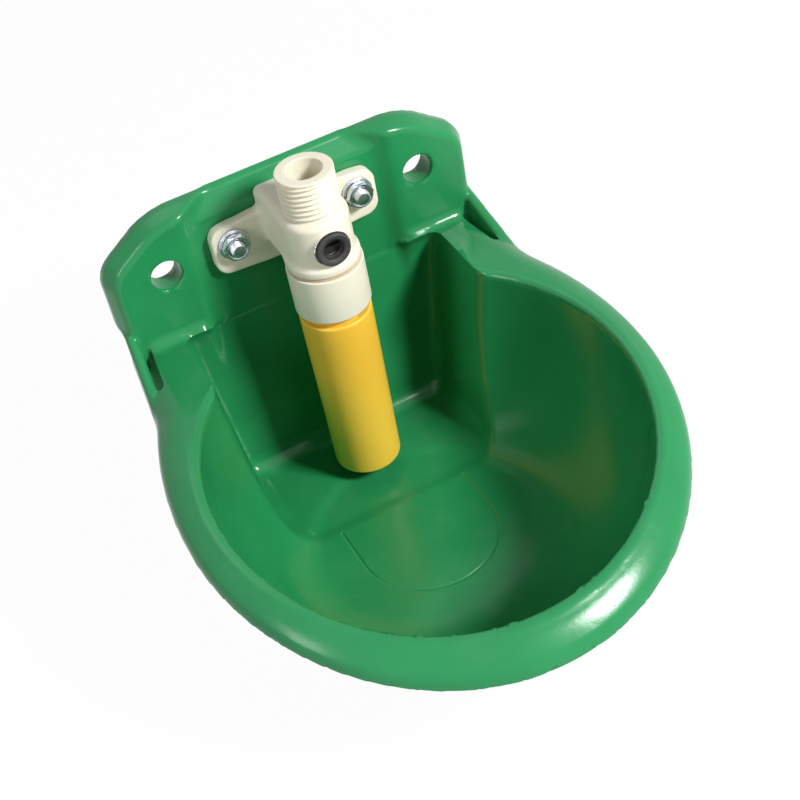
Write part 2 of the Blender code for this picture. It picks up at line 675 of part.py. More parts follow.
def ear_plate():
    """The valve's two ears as one bar with rounded ends, a little lower at its tips."""
    half, drop, size = EAR_SPAN / 2, EAR_TIP_DROP, EAR_ROUND
    low, high = EAR_ROOT_BOTTOM + drop, EAR_ROOT_TOP - drop
    right = [(BODY_HALF_WIDTH, EAR_ROOT_BOTTOM)] + arc((half - size, low + size), size, 270, 360)
    right += arc((half - size, high - size), size, 0, 90) + [(BODY_HALF_WIDTH, EAR_ROOT_TOP)]
    return upright("ear_plate", right + [(-x, z) for x, z in reversed(right)], EAR_BACK, EAR_FRONT)


def body_block():
    """The body between flange and shoulder: flat sides, a round front and a back against the plate."""
    reach = VALVE_FRONT - EAR_BACK - CLEARANCE
    rings = []
    for height, inset in ((FLANGE_BOTTOM + FLANGE_THICKNESS / 2, 0.0), (BODY_SHOULDER - BODY_SHOULDER_ROUND, 0.0),
                          (BODY_SHOULDER - BODY_SHOULDER_ROUND / 4, BODY_SHOULDER_ROUND / 3),
                          (BODY_SHOULDER, BODY_SHOULDER_ROUND)):
        radius = BODY_HALF_WIDTH - inset
        plan = [(-radius, reach)] + arc((0, 0), radius, 180, 360, SMALL_SEGMENTS) + [(radius, reach)]
        rings.append([(x, y, height) for x, y in plan])
    return moved(loft("body_block", rings), shift=(0, VALVE_Y, 0))


def valve_body(look):
    """Spigot, body, ears, flange, threaded sleeve and nose, with the water way through them."""
    spigot, neck = SPIGOT_DIAMETER / 2, SPIGOT_NECK_DIAMETER / 2
    flange, sleeve, nose = FLANGE_DIAMETER / 2, SLEEVE_DIAMETER / 2, NOSE_DIAMETER / 2
    profile = [(0, NOSE_BOTTOM), (nose, NOSE_BOTTOM), (nose, SLEEVE_BOTTOM), (sleeve, SLEEVE_BOTTOM),
               (sleeve, FLANGE_BOTTOM), (flange, FLANGE_BOTTOM), (flange, FLANGE_BOTTOM + FLANGE_THICKNESS / 2),
               (neck, FLANGE_BOTTOM + FLANGE_THICKNESS * 2), (neck, SPIGOT_FOOT),
               (spigot, SPIGOT_FOOT + SPIGOT_NECK_HEIGHT / 2),
               (spigot, SPIGOT_TOP - SPIGOT_LIP), (spigot - SPIGOT_LIP / 3, SPIGOT_TOP - SPIGOT_LIP / 3),
               (spigot - SPIGOT_LIP, SPIGOT_TOP), (0, SPIGOT_TOP)]
    body = moved(turned("valve_body", profile), shift=(0, VALVE_Y, 0))
    boss = drum("port_boss", PORT_BOSS_DIAMETER / 2, VALVE_FRONT, PORT_BOSS_FRONT, SMALL_SEGMENTS + 4)
    join(body, body_block(), ear_plate(), facing_front(boss, 0, 0, PORT_HEIGHT))
    insert = INSERT_DIAMETER / 2 + CLEARANCE
    insert_top = NOSE_BOTTOM + INSERT_HEIGHT + CLEARANCE
    chamber, throat, inlet = CHAMBER_DIAMETER / 2, THROAT_DIAMETER / 2, INLET_DIAMETER / 2
    seat = STRAINER_TOP - STRAINER_FLANGE - CLEARANCE
    strainer_room = STRAINER_CUP_DIAMETER / 2 + CLEARANCE * 2
    way = [(0, NOSE_BOTTOM - OVERRUN), (insert, NOSE_BOTTOM - OVERRUN), (insert, insert_top), (chamber, insert_top),
           (chamber, CHAMBER_TOP), (throat, CHAMBER_TOP), (throat, INLET_FLOOR), (strainer_room, INLET_FLOOR),
           (strainer_room, seat), (inlet, seat), (inlet, SPIGOT_TOP + OVERRUN), (0, SPIGOT_TOP + OVERRUN)]
    cut(body, moved(turned("water_way", way, SMALL_SEGMENTS + 8), shift=(0, VALVE_Y, 0)))
    socket, bore = PORT_SOCKET_DIAMETER / 2, PORT_BORE_DIAMETER / 2
    start, floor, end = VALVE_FRONT + bore / 3, PORT_BOSS_FRONT - PORT_SOCKET_DEPTH, PORT_BOSS_FRONT + OVERRUN
    port = turned("port", [(0, start), (bore, start), (bore, floor), (socket, floor), (socket, end), (0, end)],
                  SMALL_SEGMENTS + 2)
    cut(body, facing_front(port, 0, 0, PORT_HEIGHT))
    for side in (-1, 1):
        hole = drum("ear_hole", STUD_DIAMETER / 2 + CLEARANCE, EAR_BACK - OVERRUN, EAR_FRONT + OVERRUN, SMALL_SEGMENTS)
        cut(body, facing_front(hole, side * STUD_SPACING / 2, 0.0, STUD_HEIGHT))
    return finish(body, look, "valve_body", (0, VALVE_Y, FLANGE_BOTTOM))


def sphere_arc(radius, low, high, steps=SPHERE_STEPS):
    """Outline points (radius, height) on a sphere about the pivot between two heights from it."""
    return [(math.sqrt(radius ** 2 - rise ** 2), PIVOT_HEIGHT + rise) for rise in np.linspace(low, high, steps + 1)]


def collar_nut(look):
    """The collar screwed on the sleeve; its lower inside is a ball seat for the tube's bead."""
    outer, bore = COLLAR_DIAMETER / 2, SLEEVE_DIAMETER / 2 + CLEARANCE
    mouth = COLLAR_MOUTH_DIAMETER / 2
    seat_radius = BEAD_RADIUS + CLEARANCE
    seat_low = -math.sqrt(seat_radius ** 2 - mouth ** 2)
    top = FLANGE_BOTTOM - GASKET_THICKNESS - 2 * CLEARANCE
    profile = [(mouth, COLLAR_BOTTOM), (outer - COLLAR_ROUND, COLLAR_BOTTOM),
               (outer - COLLAR_ROUND / 4, COLLAR_BOTTOM + COLLAR_ROUND / 4), (outer, COLLAR_BOTTOM + COLLAR_ROUND),
               (outer, top - COLLAR_ROUND / 2), (outer - COLLAR_ROUND / 2, top), (bore, top),
               (bore, SLEEVE_BOTTOM), (seat_radius, SLEEVE_BOTTOM - (seat_radius - bore))]
    profile += list(reversed(sphere_arc(seat_radius, seat_low, 0.0)))
    return finish(moved(turned("collar_nut", profile), shift=(0, VALVE_Y, 0)), look, "collar_nut",
                  (0, VALVE_Y, COLLAR_BOTTOM))


def ring(name, inner, outer, low, high, segments=ROUND_SEGMENTS):
    """A flat ring about the valve's axis."""
    profile = [(inner, low), (outer, low), (outer, high), (inner, high)]
    return moved(turned(name, profile, segments), shift=(0, VALVE_Y, 0))


def push_tube(look, pivot):
    """The tube, its shoulder, the snap fingers with their bead, and the web that grips the stem."""
    top, foot = TUBE_TOP_DIAMETER / 2, TUBE_FOOT_DIAMETER / 2
    outer, inner = FINGER_DIAMETER / 2, FINGER_DIAMETER / 2 - FINGER_WALL
    finger_top = PIVOT_HEIGHT + BEAD_HALF_HEIGHT
    shoulder = TUBE_TOP - SHOULDER_THICKNESS
    profile = [(foot - TUBE_WALL, TUBE_BOTTOM), (foot, TUBE_BOTTOM), (top, TUBE_TOP - TUBE_WALL / 3),
               (top - TUBE_WALL / 3, TUBE_TOP), (outer, TUBE_TOP), (outer, PIVOT_HEIGHT - BEAD_HALF_HEIGHT)]
    profile += sphere_arc(BEAD_RADIUS, -BEAD_HALF_HEIGHT, BEAD_HALF_HEIGHT, 2)
    profile += [(inner, finger_top), (inner, shoulder), (top - TUBE_WALL, shoulder - TUBE_WALL / 2)]
    tube = turned("push_tube", profile)
    reach = BEAD_RADIUS * 2
    for index in range(FINGER_COUNT):
        spread = math.radians(FINGER_GAP_DEGREES) / 2
        middle = math.radians(FINGER_TURN_DEGREES) + TURN * index / FINGER_COUNT
        wedge = [(0, 0), (reach * math.cos(middle - spread), reach * math.sin(middle - spread)),
                 (reach * math.cos(middle + spread), reach * math.sin(middle + spread))]
        cut(tube, prism("finger_gap", wedge, TUBE_TOP, finger_top + OVERRUN))
    hub = drum("hub", HUB_DIAMETER / 2, TUBE_TOP - WEB_HEIGHT, TUBE_TOP, SMALL_SEGMENTS)
    low, high = TUBE_TOP - WEB_HEIGHT, TUBE_TOP - SHOULDER_THICKNESS / 2
    half, arm = WEB_THICKNESS / 2, top - TUBE_WALL / 2
    join(tube, join(block("web_across", (-arm, -half, low), (arm, half, high)),
                    block("web_along", (-half, -arm, low), (half, arm, high)), hub))
    cut(tube, drum("stem_hole", STEM_DIAMETER / 2 + CLEARANCE, low - OVERRUN, TUBE_TOP + OVERRUN, SMALL_SEGMENTS))
    return finish(moved(tube, shift=(0, VALVE_Y, 0)), look, "push_tube", pivot.location, pivot)


def valve_stem(look, pivot):
    """The stem and its flat head, with a ball dome on top that the spring's cup presses."""
    rod, head = STEM_DIAMETER / 2, HEAD_DIAMETER / 2
    low = PIVOT_HEIGHT + HEAD_LIFT
    high = low + HEAD_THICKNESS
    tip = TUBE_TOP - WEB_HEIGHT - CLEARANCE - STEM_NUT_THICKNESS - STEM_FREE_END
    start = high - PIVOT_HEIGHT
    dome = sphere_arc(DOME_RADIUS, start, DOME_RADIUS, SPHERE_STEPS)
    profile = [(0, tip), (rod, tip), (rod, low), (head, low), (head, high)] + dome
    stem = turned("valve_stem", profile, SMALL_SEGMENTS)
    return finish(moved(stem, shift=(0, VALVE_Y, 0)), look, "valve_stem", pivot.location, pivot)


def spring_retainer(look, pivot):
    """The dished washer between the spring and the stem's dome."""
    cup = DOME_RADIUS + CLEARANCE
    outer = RETAINER_DIAMETER / 2
    low = HEAD_LIFT + HEAD_THICKNESS + CLEARANCE * 2
    high = cup + RETAINER_THICKNESS
    inside = sphere_arc(cup, low, cup, SPHERE_STEPS)
    profile = inside[::-1] + [(math.sqrt(cup ** 2 - low ** 2) + RETAINER_THICKNESS / 2, PIVOT_HEIGHT + low),
                              (SPRING_MEAN_DIAMETER / 2 - SPRING_WIRE_DIAMETER, PIVOT_HEIGHT + high - RETAINER_THICKNESS),
                              (outer, PIVOT_HEIGHT + high - RETAINER_THICKNESS), (outer, PIVOT_HEIGHT + high),
                              (0, PIVOT_HEIGHT + high)]
    washer = turned("spring_retainer", profile, SMALL_SEGMENTS)
    return finish(moved(washer, shift=(0, VALVE_Y, 0)), look, "spring_retainer", pivot.location, pivot)


def stem_nut(look, pivot):
    """The small nut that clamps the stem under the tube's web."""
    high = TUBE_TOP - WEB_HEIGHT - CLEARANCE
    low = high - STEM_NUT_THICKNESS
    nut = hexagon_bar("stem_nut", STEM_NUT_FLATS, low, high, NUT_CHAMFER / 2)
    cut(nut, drum("stem_nut_hole", STEM_DIAMETER / 2 + CLEARANCE, low - OVERRUN, high + OVERRUN, SMALL_SEGMENTS))
    return finish(moved(nut, shift=(0, VALVE_Y, 0)), look, "stem_nut", pivot.location, pivot)


def seat_insert(look):
    """The metal cup pressed into the nose; it holds the rubber seat."""
    outer, hole = INSERT_DIAMETER / 2, SEAT_BORE_DIAMETER / 2
    socket = SEAT_DIAMETER / 2 + CLEARANCE
    chamber = CHAMBER_DIAMETER / 2
    seat_low = PIVOT_HEIGHT - SEAT_THICKNESS - CLEARANCE
    rim = PIVOT_HEIGHT - SEAT_STEP
    profile = [(hole, seat_low - INSERT_FLOOR), (outer, seat_low - INSERT_FLOOR), (outer, NOSE_BOTTOM + INSERT_HEIGHT),
               (chamber, NOSE_BOTTOM + INSERT_HEIGHT), (chamber, rim), (socket, rim), (socket, seat_low),
               (hole, seat_low)]
    cup = turned("seat_insert", profile, SMALL_SEGMENTS + 8)
    return finish(moved(cup, shift=(0, VALVE_Y, 0)), look, "seat_insert", (0, VALVE_Y, NOSE_BOTTOM))


def seat_ring(look):
    """The rubber seat with its raised lip, on which the stem's head rocks."""
    hole, lip, outer = SEAT_BORE_DIAMETER / 2, SEAT_LIP_DIAMETER / 2, SEAT_DIAMETER / 2
    low, step = PIVOT_HEIGHT - SEAT_THICKNESS, PIVOT_HEIGHT - SEAT_STEP
    profile = [(hole, low), (outer, low), (outer, step), (lip, step), (lip, PIVOT_HEIGHT), (hole, PIVOT_HEIGHT)]
    seat = turned("seat_ring", profile, SMALL_SEGMENTS + 8)
    return finish(moved(seat, shift=(0, VALVE_Y, 0)), look, "seat_ring", (0, VALVE_Y, PIVOT_HEIGHT))


def valve_spring(look):
    """A coil spring wound in a loop of short straight runs, between its cup and the chamber's top."""
    wire = SPRING_WIRE_DIAMETER / 2
    mean = SPRING_MEAN_DIAMETER / 2
    low = PIVOT_HEIGHT + DOME_RADIUS + CLEARANCE + RETAINER_THICKNESS + SPRING_ROCK_CLEARANCE + wire
    high = CHAMBER_TOP - CLEARANCE - wire
    steps = SPRING_TURNS * SPRING_STEPS_PER_TURN
    rings = []
    for step in range(steps + 1):
        along = step / steps
        angle = TURN * SPRING_TURNS * along
        middle = Vector((mean * math.cos(angle), VALVE_Y + mean * math.sin(angle), low + (high - low) * along))
        outward = Vector((math.cos(angle), math.sin(angle), 0))
        sides = [TURN * side / SPRING_SIDES for side in range(SPRING_SIDES)]
        rings.append([tuple(middle + outward * wire * math.cos(a) + Vector((0, 0, wire * math.sin(a)))) for a in sides])
    return finish(loft("valve_spring", rings), look, "valve_spring", (0, VALVE_Y, low))


def inlet_strainer(look):
    """A cup with a flange and a pierced floor that keeps grit out of the valve."""
    flange, cup = INLET_DIAMETER / 2 - CLEARANCE, STRAINER_CUP_DIAMETER / 2
    inner = cup - STRAINER_WALL
    low = STRAINER_TOP - STRAINER_DEPTH
    under = STRAINER_TOP - STRAINER_FLANGE
    profile = [(0, low), (cup, low), (cup, under), (flange, under), (flange, STRAINER_TOP), (inner, STRAINER_TOP),
               (inner, low + STRAINER_WALL), (0, low + STRAINER_WALL)]
    basket = turned("inlet_strainer", profile, SMALL_SEGMENTS + 8)
    for index in range(STRAINER_HOLES):
        angle = TURN * index / STRAINER_HOLES
        hole = drum("strainer_hole", STRAINER_HOLE_DIAMETER / 2, low - OVERRUN, low + OVERRUN, SMALL_SEGMENTS // 2)
        middle = STRAINER_HOLE_CIRCLE / 2
        cut(basket, moved(hole, shift=(middle * math.cos(angle), middle * math.sin(angle), 0)))
    return finish(moved(basket, shift=(0, VALVE_Y, 0)), look, "inlet_strainer", (0, VALVE_Y, STRAINER_TOP))


def port_grommet(look):
    """The black rubber ring round the flow port."""
    back = PORT_BOSS_FRONT - PORT_SOCKET_DEPTH + CLEARANCE
    front = back + GROMMET_LENGTH
    inner, outer = PORT_BORE_DIAMETER / 2, PORT_SOCKET_DIAMETER / 2 - CLEARANCE
    size = GROMMET_ROUND
    profile = [(inner, back), (outer, back), (outer, front - size), (outer - size, front), (inner + size, front),
               (inner, front - size)]
    grommet = turned("port_grommet", profile, SMALL_SEGMENTS + 8)
    return finish(facing_front(grommet, 0, 0, PORT_HEIGHT), look, "port_grommet",
                  (0, WALL_Y - PORT_BOSS_FRONT, PORT_HEIGHT))


def flow_screw(look, axis):
    """The slotted screw down the flow port; its cone throttles the water way."""
    face = PORT_BOSS_FRONT - PORT_SOCKET_DEPTH + GROMMET_LENGTH - SCREW_FACE_INSET
    radius = PORT_BORE_DIAMETER / 2 - CLEARANCE
    neck = radius - RING_SECTION - CLEARANCE
    groove = face - SCREW_GROOVE_START
    groove_end = groove - SCREW_GROOVE_LENGTH
    cone = face - SCREW_LENGTH
    tip = SCREW_TIP_DIAMETER / 2
    profile = [(0, cone - SCREW_CONE_LENGTH), (tip, cone - SCREW_CONE_LENGTH), (radius * SCREW_CONE_SHARE, cone), (radius, cone),
               (radius, groove_end), (neck, groove_end), (neck, groove), (radius, groove), (radius, face), (0, face)]
    screw = turned("flow_screw", profile, SMALL_SEGMENTS)
    half = SCREW_SLOT_WIDTH / 2
    reach = radius + OVERRUN
    cut(screw, block("slot", (-reach, -half, face - SCREW_SLOT_DEPTH), (reach, half, face + OVERRUN)))
    return finish(facing_front(screw, 0, 0, PORT_HEIGHT), look, "flow_screw", axis.location, axis)


def flow_screw_ring(look, axis):
    """The O-ring in the flow screw's groove."""
    face = PORT_BOSS_FRONT - PORT_SOCKET_DEPTH + GROMMET_LENGTH - SCREW_FACE_INSET
    middle = face - SCREW_GROOVE_START - SCREW_GROOVE_LENGTH / 2
    section = RING_SECTION / 2
    centre = PORT_BORE_DIAMETER / 2 - CLEARANCE - section
    profile = arc((centre, middle), section, 0, 360, SPRING_SIDES)[:-1]
    seal = turned("flow_screw_ring", profile, SMALL_SEGMENTS)
    return finish(facing_front(seal, 0, 0, PORT_HEIGHT), look, "flow_screw_ring", axis.location, axis)


def stud_stack():
    """Distances out from the wall along a stud: head face, washer back, nut back and nut face."""
    head = RECESS_FRONT - WALL - CLEARANCE
    washer = EAR_FRONT + CLEARANCE
    nut = washer + WASHER_THICKNESS + CLEARANCE
    return head, washer, nut, nut + NUT_THICKNESS


def each_stud(name, look, make):
    """A matching piece on both studs."""
    for side, word in ((-1, "left"), (1, "right")):
        x = side * STUD_SPACING / 2
        finish(facing_front(make(), x, 0.0, STUD_HEIGHT), look, f"{name}_{word}", (x, WALL_Y - EAR_FRONT, STUD_HEIGHT))


def valve_fixings(zinc):
    """Two bolts through the plate and the ears, each with a washer and a nut."""
    head, washer, nut, face = stud_stack()
    rod, hole = STUD_DIAMETER / 2, STUD_DIAMETER / 2 + CLEARANCE
    end = face + STUD_FREE_END

    def bolt():
        profile = [(0, head - BOLT_HEAD_THICKNESS), (BOLT_HEAD_DIAMETER / 2, head - BOLT_HEAD_THICKNESS),
                   (BOLT_HEAD_DIAMETER / 2, head), (rod, head), (rod, end - rod / 5), (rod - rod / 5, end), (0, end)]
        return turned("bolt", profile, SMALL_SEGMENTS)

    def flat_washer():
        profile = [(hole, washer), (WASHER_DIAMETER / 2, washer), (WASHER_DIAMETER / 2, washer + WASHER_THICKNESS),
                   (hole, washer + WASHER_THICKNESS)]
        return turned("washer", profile, SMALL_SEGMENTS + 4)

    def hexagon_nut():
        bar = hexagon_bar("nut", NUT_FLATS, nut, face, NUT_CHAMFER)
        return cut(bar, drum("nut_hole", hole, nut - OVERRUN, face + OVERRUN, SMALL_SEGMENTS))

    each_stud("mounting_bolt", zinc, bolt)
    each_stud("mounting_washer", zinc, flat_washer)
    each_stud("mounting_nut", zinc, hexagon_nut)


def empty(name, place):
    """A marker that moving pieces hang from."""
    marker = bpy.data.objects.new(name, None)
    marker.location = place
    bpy.context.collection.objects.link(marker)
    return marker


def main():
    """Clears the scene and builds the drinking bowl."""
    for thing in list(bpy.data.objects):
        bpy.data.objects.remove(thing)
    green = material("green_plastic", (0.022, 0.27, 0.088), 0.28)
    cream = material("cream_plastic", (0.84, 0.80, 0.69), 0.36)
    yellow = material("yellow_plastic", (0.90, 0.55, 0.055), 0.34)
    zinc = material("zinc_steel", (0.66, 0.70, 0.76), 0.26, 1.0)
    steel = material("spring_steel", (0.55, 0.56, 0.58), 0.30, 1.0)
    brass = material("brass", (0.72, 0.52, 0.22), 0.32, 1.0)
    rubber = material("black_rubber", (0.025, 0.024, 0.025), 0.62)
    black = material("black_plastic", (0.035, 0.034, 0.035), 0.42)
    fibre = material("tan_gasket", (0.62, 0.47, 0.30), 0.70)

    bowl_shell(green)
    valve_body(cream)
    collar_nut(cream)
    gasket_low = FLANGE_BOTTOM - CLEARANCE - GASKET_THICKNESS
    gasket = ring("collar_gasket", SLEEVE_DIAMETER / 2 + CLEARANCE, GASKET_DIAMETER / 2, gasket_low,
                  gasket_low + GASKET_THICKNESS)
    finish(gasket, fibre, "collar_gasket", (0, VALVE_Y, gasket_low))

    pivot = empty("tilt_pivot", (0, VALVE_Y, PIVOT_HEIGHT))
    bpy.context.view_layer.update()
    push_tube(yellow, pivot)
    valve_stem(brass, pivot)
    spring_retainer(brass, pivot)
    stem_nut(brass, pivot)
    seat_insert(brass)
    seat_ring(rubber)
    valve_spring(steel)
    inlet_strainer(cream)

    axis = empty("flow_axis", (0, WALL_Y - PORT_BOSS_FRONT, PORT_HEIGHT))
    port_grommet(rubber)
    flow_screw(black, axis)
    flow_screw_ring(rubber, axis)
    valve_fixings(zinc)


main()
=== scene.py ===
"""Livestock drinking bowl with a tilting push-tube valve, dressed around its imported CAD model.

Sizes are in millimetres and places are (x, front, height): x to the right seen from the front,
front out from the wall, height above the base. Pieces are made in those terms and put into the
frame, in metres, when their mesh is made.
"""

import logging
import math
from dataclasses import dataclass
from enum import Enum
from typing import Callable, Sequence

import bmesh
import bpy
import numpy as np
from mathutils import Matrix, Vector


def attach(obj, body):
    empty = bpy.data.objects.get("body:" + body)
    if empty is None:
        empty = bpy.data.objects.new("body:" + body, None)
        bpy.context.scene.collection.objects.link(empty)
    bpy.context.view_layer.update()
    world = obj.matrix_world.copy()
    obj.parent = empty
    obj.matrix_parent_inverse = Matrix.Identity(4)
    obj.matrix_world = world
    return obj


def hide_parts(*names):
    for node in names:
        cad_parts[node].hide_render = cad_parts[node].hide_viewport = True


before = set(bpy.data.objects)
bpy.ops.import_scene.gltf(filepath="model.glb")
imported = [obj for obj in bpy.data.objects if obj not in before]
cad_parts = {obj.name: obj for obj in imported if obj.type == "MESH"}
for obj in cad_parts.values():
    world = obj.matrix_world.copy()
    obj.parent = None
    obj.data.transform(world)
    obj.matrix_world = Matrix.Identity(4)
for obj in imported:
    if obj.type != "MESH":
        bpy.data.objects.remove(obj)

logging.basicConfig(level=logging.INFO, format="%(levelname)s %(message)s")
LOG = logging.getLogger("drinking_bowl")

Array = np.ndarray
Field = Callable[[Array, Array, Array], Array]
Colour = tuple[float, float, float]

MILLIMETRE = 0.001
WALL_PLACE = 95.35
TURN = 2 * math.pi
FAR = 9.0
SMOOTH_ANGLE = math.radians(52)


class Body(Enum):
    """The CAD bodies that pieces ride on."""

    BASE = "base"
    TUBE = "tube"


class Slot(Enum):
    """The record's material slots."""

    GREEN = "green_plastic"
    CREAM = "cream_plastic"
    YELLOW = "yellow_plastic"
    ZINC = "zinc_steel"
    SPRING = "spring_steel"
    BRASS = "brass"
    RUBBER = "black_rubber"
    BLACK = "black_plastic"
    TAN = "tan_gasket"


# Distances and how solids meet


def round_and(first: Array, second: Array, radius: float | Array) -> Array:
    """What lies in both solids, with the outer corner between them rounded.

    Formula: the larger distance, and within the radius of both faces the distance from a circle
    of that radius that touches them.

    Args:
        first: Distances from the first solid's face, negative inside.
        second: Distances from the second solid's face.
        radius: Radius of the rounded corner.

    Returns:
        Distances from the common solid.
    """
    corner = np.hypot(np.maximum(first + radius, 0), np.maximum(second + radius, 0))
    return np.minimum(np.maximum(first, second), -radius) + corner


def round_or(first: Array, second: Array, radius: float | Array) -> Array:
    """What lies in either solid, with a hollow fillet where they meet.

    Formula: the mirror of round_and, with both signs turned.

    Args:
        first: Distances from the first solid's face, negative inside.
        second: Distances from the second solid's face.
        radius: Radius of the fillet.

    Returns:
        Distances from the joined solid.
    """
    return -round_and(-first, -second, radius)


def ellipse_gap(x: Array, front: Array, half: float, length: float | Array, centre: float) -> Array:
    """Distance outside an ellipse in plan, exact on a circle and close to it elsewhere.

    Formula: (rho - 1) over the length of rho's slope, where rho is the root of the squares of
    x / half and (front - centre) / length.

    Args:
        x: Places across.
        front: Places out from the wall.
        half: Half width.
        length: Half length.
        centre: Centre's place out from the wall.

    Returns:
        Distances, negative inside.
    """
    along = front - centre
    rho = np.hypot(x / half, along / length)
    slope = np.hypot(x / half**2, along / length**2) / np.maximum(rho, 1e-6)
    return (rho - 1) / np.maximum(slope, 1e-6)


def level_surface(shape: Field, low: Sequence[float], high: Sequence[float],
                  pitch: float) -> tuple[Array, Array]:
    """The skin of a solid that is given by its distance function, with its edges kept.

    Formula: where the face cuts a grid edge, the function's slope gives the face's plane there.
    Each grid cell that the face passes through gets one corner, at the place nearest to all the
    planes of its cut edges, and each cut grid edge joins the four cells round it.

    Args:
        shape: Distance function of x, front and height.
        low: Lowest corner of the grid.
        high: Highest corner of the grid.
        pitch: Grid spacing.

    Returns:
        Corner places (n, 3) and four-sided faces (m, 4) that face outward in these terms.
    """
    axes = [np.arange(a, b + pitch, pitch) for a, b in zip(low, high)]
    grid = shape(axes[0][:, None, None], axes[1][None, :, None], axes[2][None, None, :])
    inside = grid < 0
    cells_shape = tuple(n - 1 for n in grid.shape)
    count = np.zeros(cells_shape, np.int8)
    for i, j, k in np.ndindex(2, 2, 2):
        count += inside[i : i + cells_shape[0], j : j + cells_shape[1], k : k + cells_shape[2]]
    cells = np.argwhere((count > 0) & (count < 8))
    index = np.full(cells_shape, -1, np.int64)
    index[tuple(cells.T)] = np.arange(len(cells))
    sums = np.zeros((len(cells), 13))
    faces = []
    for axis in range(3):
        first = np.moveaxis(inside, axis, 0)
        before, after = first[:-1], first[1:]
        spots = np.argwhere(before != after)
        spots = spots[(spots[:, 1] > 0) & (spots[:, 2] > 0)]
        outward = before[tuple(spots.T)]
        order = [axis] + [i for i in range(3) if i != axis]
        spots = spots[:, np.argsort(order)]
        unit = np.eye(3, dtype=int)
        u, v = unit[(axis + 1) % 3], unit[(axis + 2) % 3]
        corners = np.stack([index[tuple(spot.T)] for spot in (spots - u - v, spots - v, spots, spots - u)], 1)
        cut = edge_cut(shape, grid, spots, unit[axis], low, pitch)
        plane = slope_at(shape, cut, pitch / 8)
        plane /= np.maximum(np.linalg.norm(plane, axis=1, keepdims=True), 1e-9)
        reach = (plane * cut).sum(1)
        facts = [plane[:, a] * plane[:, b] for a in range(3) for b in range(a, 3)]
        facts += [plane[:, a] * reach for a in range(3)] + [cut[:, a] for a in range(3)] + [np.ones(len(cut))]
        for corner in corners.T:
            for number, fact in enumerate(facts):
                sums[:, number] += np.bincount(corner, fact, len(cells))
        corners[~outward] = corners[~outward][:, ::-1]
        faces.append(corners)
    middle = (cells + 0.5) * pitch + np.array(low)
    return nearest_to_planes(sums, middle, pitch), np.concatenate(faces)


def edge_cut(shape: Field, grid: Array, spots: Array, step: Array, low: Sequence[float],
             pitch: float) -> Array:
    """Where a face cuts grid edges, by halving towards the cut and one straight step at the end.

    Args:
        shape: Distance function.
        grid: Its values on the grid.
        spots: Grid places at which the edges start (n, 3).
        step: The edges' direction, as a grid step.
        low: Lowest corner of the grid.
        pitch: Grid spacing.

    Returns:
        The cuts' places (n, 3).
    """
    start, end = np.zeros(len(spots)), np.ones(len(spots))
    start_value, end_value = grid[tuple(spots.T)], grid[tuple((spots + step).T)]
    for _ in range(3):
        share = start + (end - start) * np.clip(start_value / (start_value - end_value), 0.1, 0.9)
        places = (spots + share[:, None] * step) * pitch + np.array(low)
        value = shape(*places.T)
        same = (value < 0) == (start_value < 0)
        start, start_value = np.where(same, share, start), np.where(same, value, start_value)
        end, end_value = np.where(same, end, share), np.where(same, end_value, value)
    share = start + (end - start) * start_value / (start_value - end_value)
    return (spots + share[:, None] * step) * pitch + np.array(low)


def slope_at(shape: Field, points: Array, reach: float) -> Array:
    """The slope of a distance function, from its values a little to each side.

    Args:
        shape: Distance function.
        points: Places (n, 3).
        reach: How far to each side.

    Returns:
        The slopes (n, 3).
    """
    slope = np.empty_like(points)
    for axis in range(3):
        shift = np.zeros(3)
        shift[axis] = reach
        slope[:, axis] = (shape(*(points + shift).T) - shape(*(points - shift).T)) / (2 * reach)
    return slope


def nearest_to_planes(sums: Array, middle: Array, pitch: float) -> Array:
    """The place in each cell that lies nearest to its planes, starting from the mean of its cuts.

    Formula: least squares over the planes; directions that the planes hardly fix are left at the
    mean, and the place stays within the cell.

    Args:
        sums: Each cell's sums of plane products (6), plane reaches (3), cut places (3) and cuts (1).
        middle: Middles of the cells (n, 3).
        pitch: Grid spacing.

    Returns:
        The places (n, 3).
    """
    mean = sums[:, 9:12] / sums[:, 12:]
    square = np.empty((len(sums), 3, 3))
    for number, (a, b) in enumerate([(a, b) for a in range(3) for b in range(a, 3)]):
        square[:, a, b] = square[:, b, a] = sums[:, number]
    miss = sums[:, 6:9] - np.einsum("nij,nj->ni", square, mean)
    sizes, ways = np.linalg.eigh(square)
    keep = sizes > 0.06 * sizes[:, -1:]
    part = np.einsum("nji,nj->ni", ways, miss) * np.where(keep, 1 / np.maximum(sizes, 1e-9), 0)
    move = np.einsum("nij,nj->ni", ways, part)
    return np.clip(mean + move, middle - 0.5 * pitch, middle + 0.5 * pitch)


def into_frame(points: Array) -> Array:
    """Turns (x, front, height) in millimetres into the frame's metres."""
    return np.stack([points[:, 0], WALL_PLACE - points[:, 1], points[:, 2]], 1) * MILLIMETRE


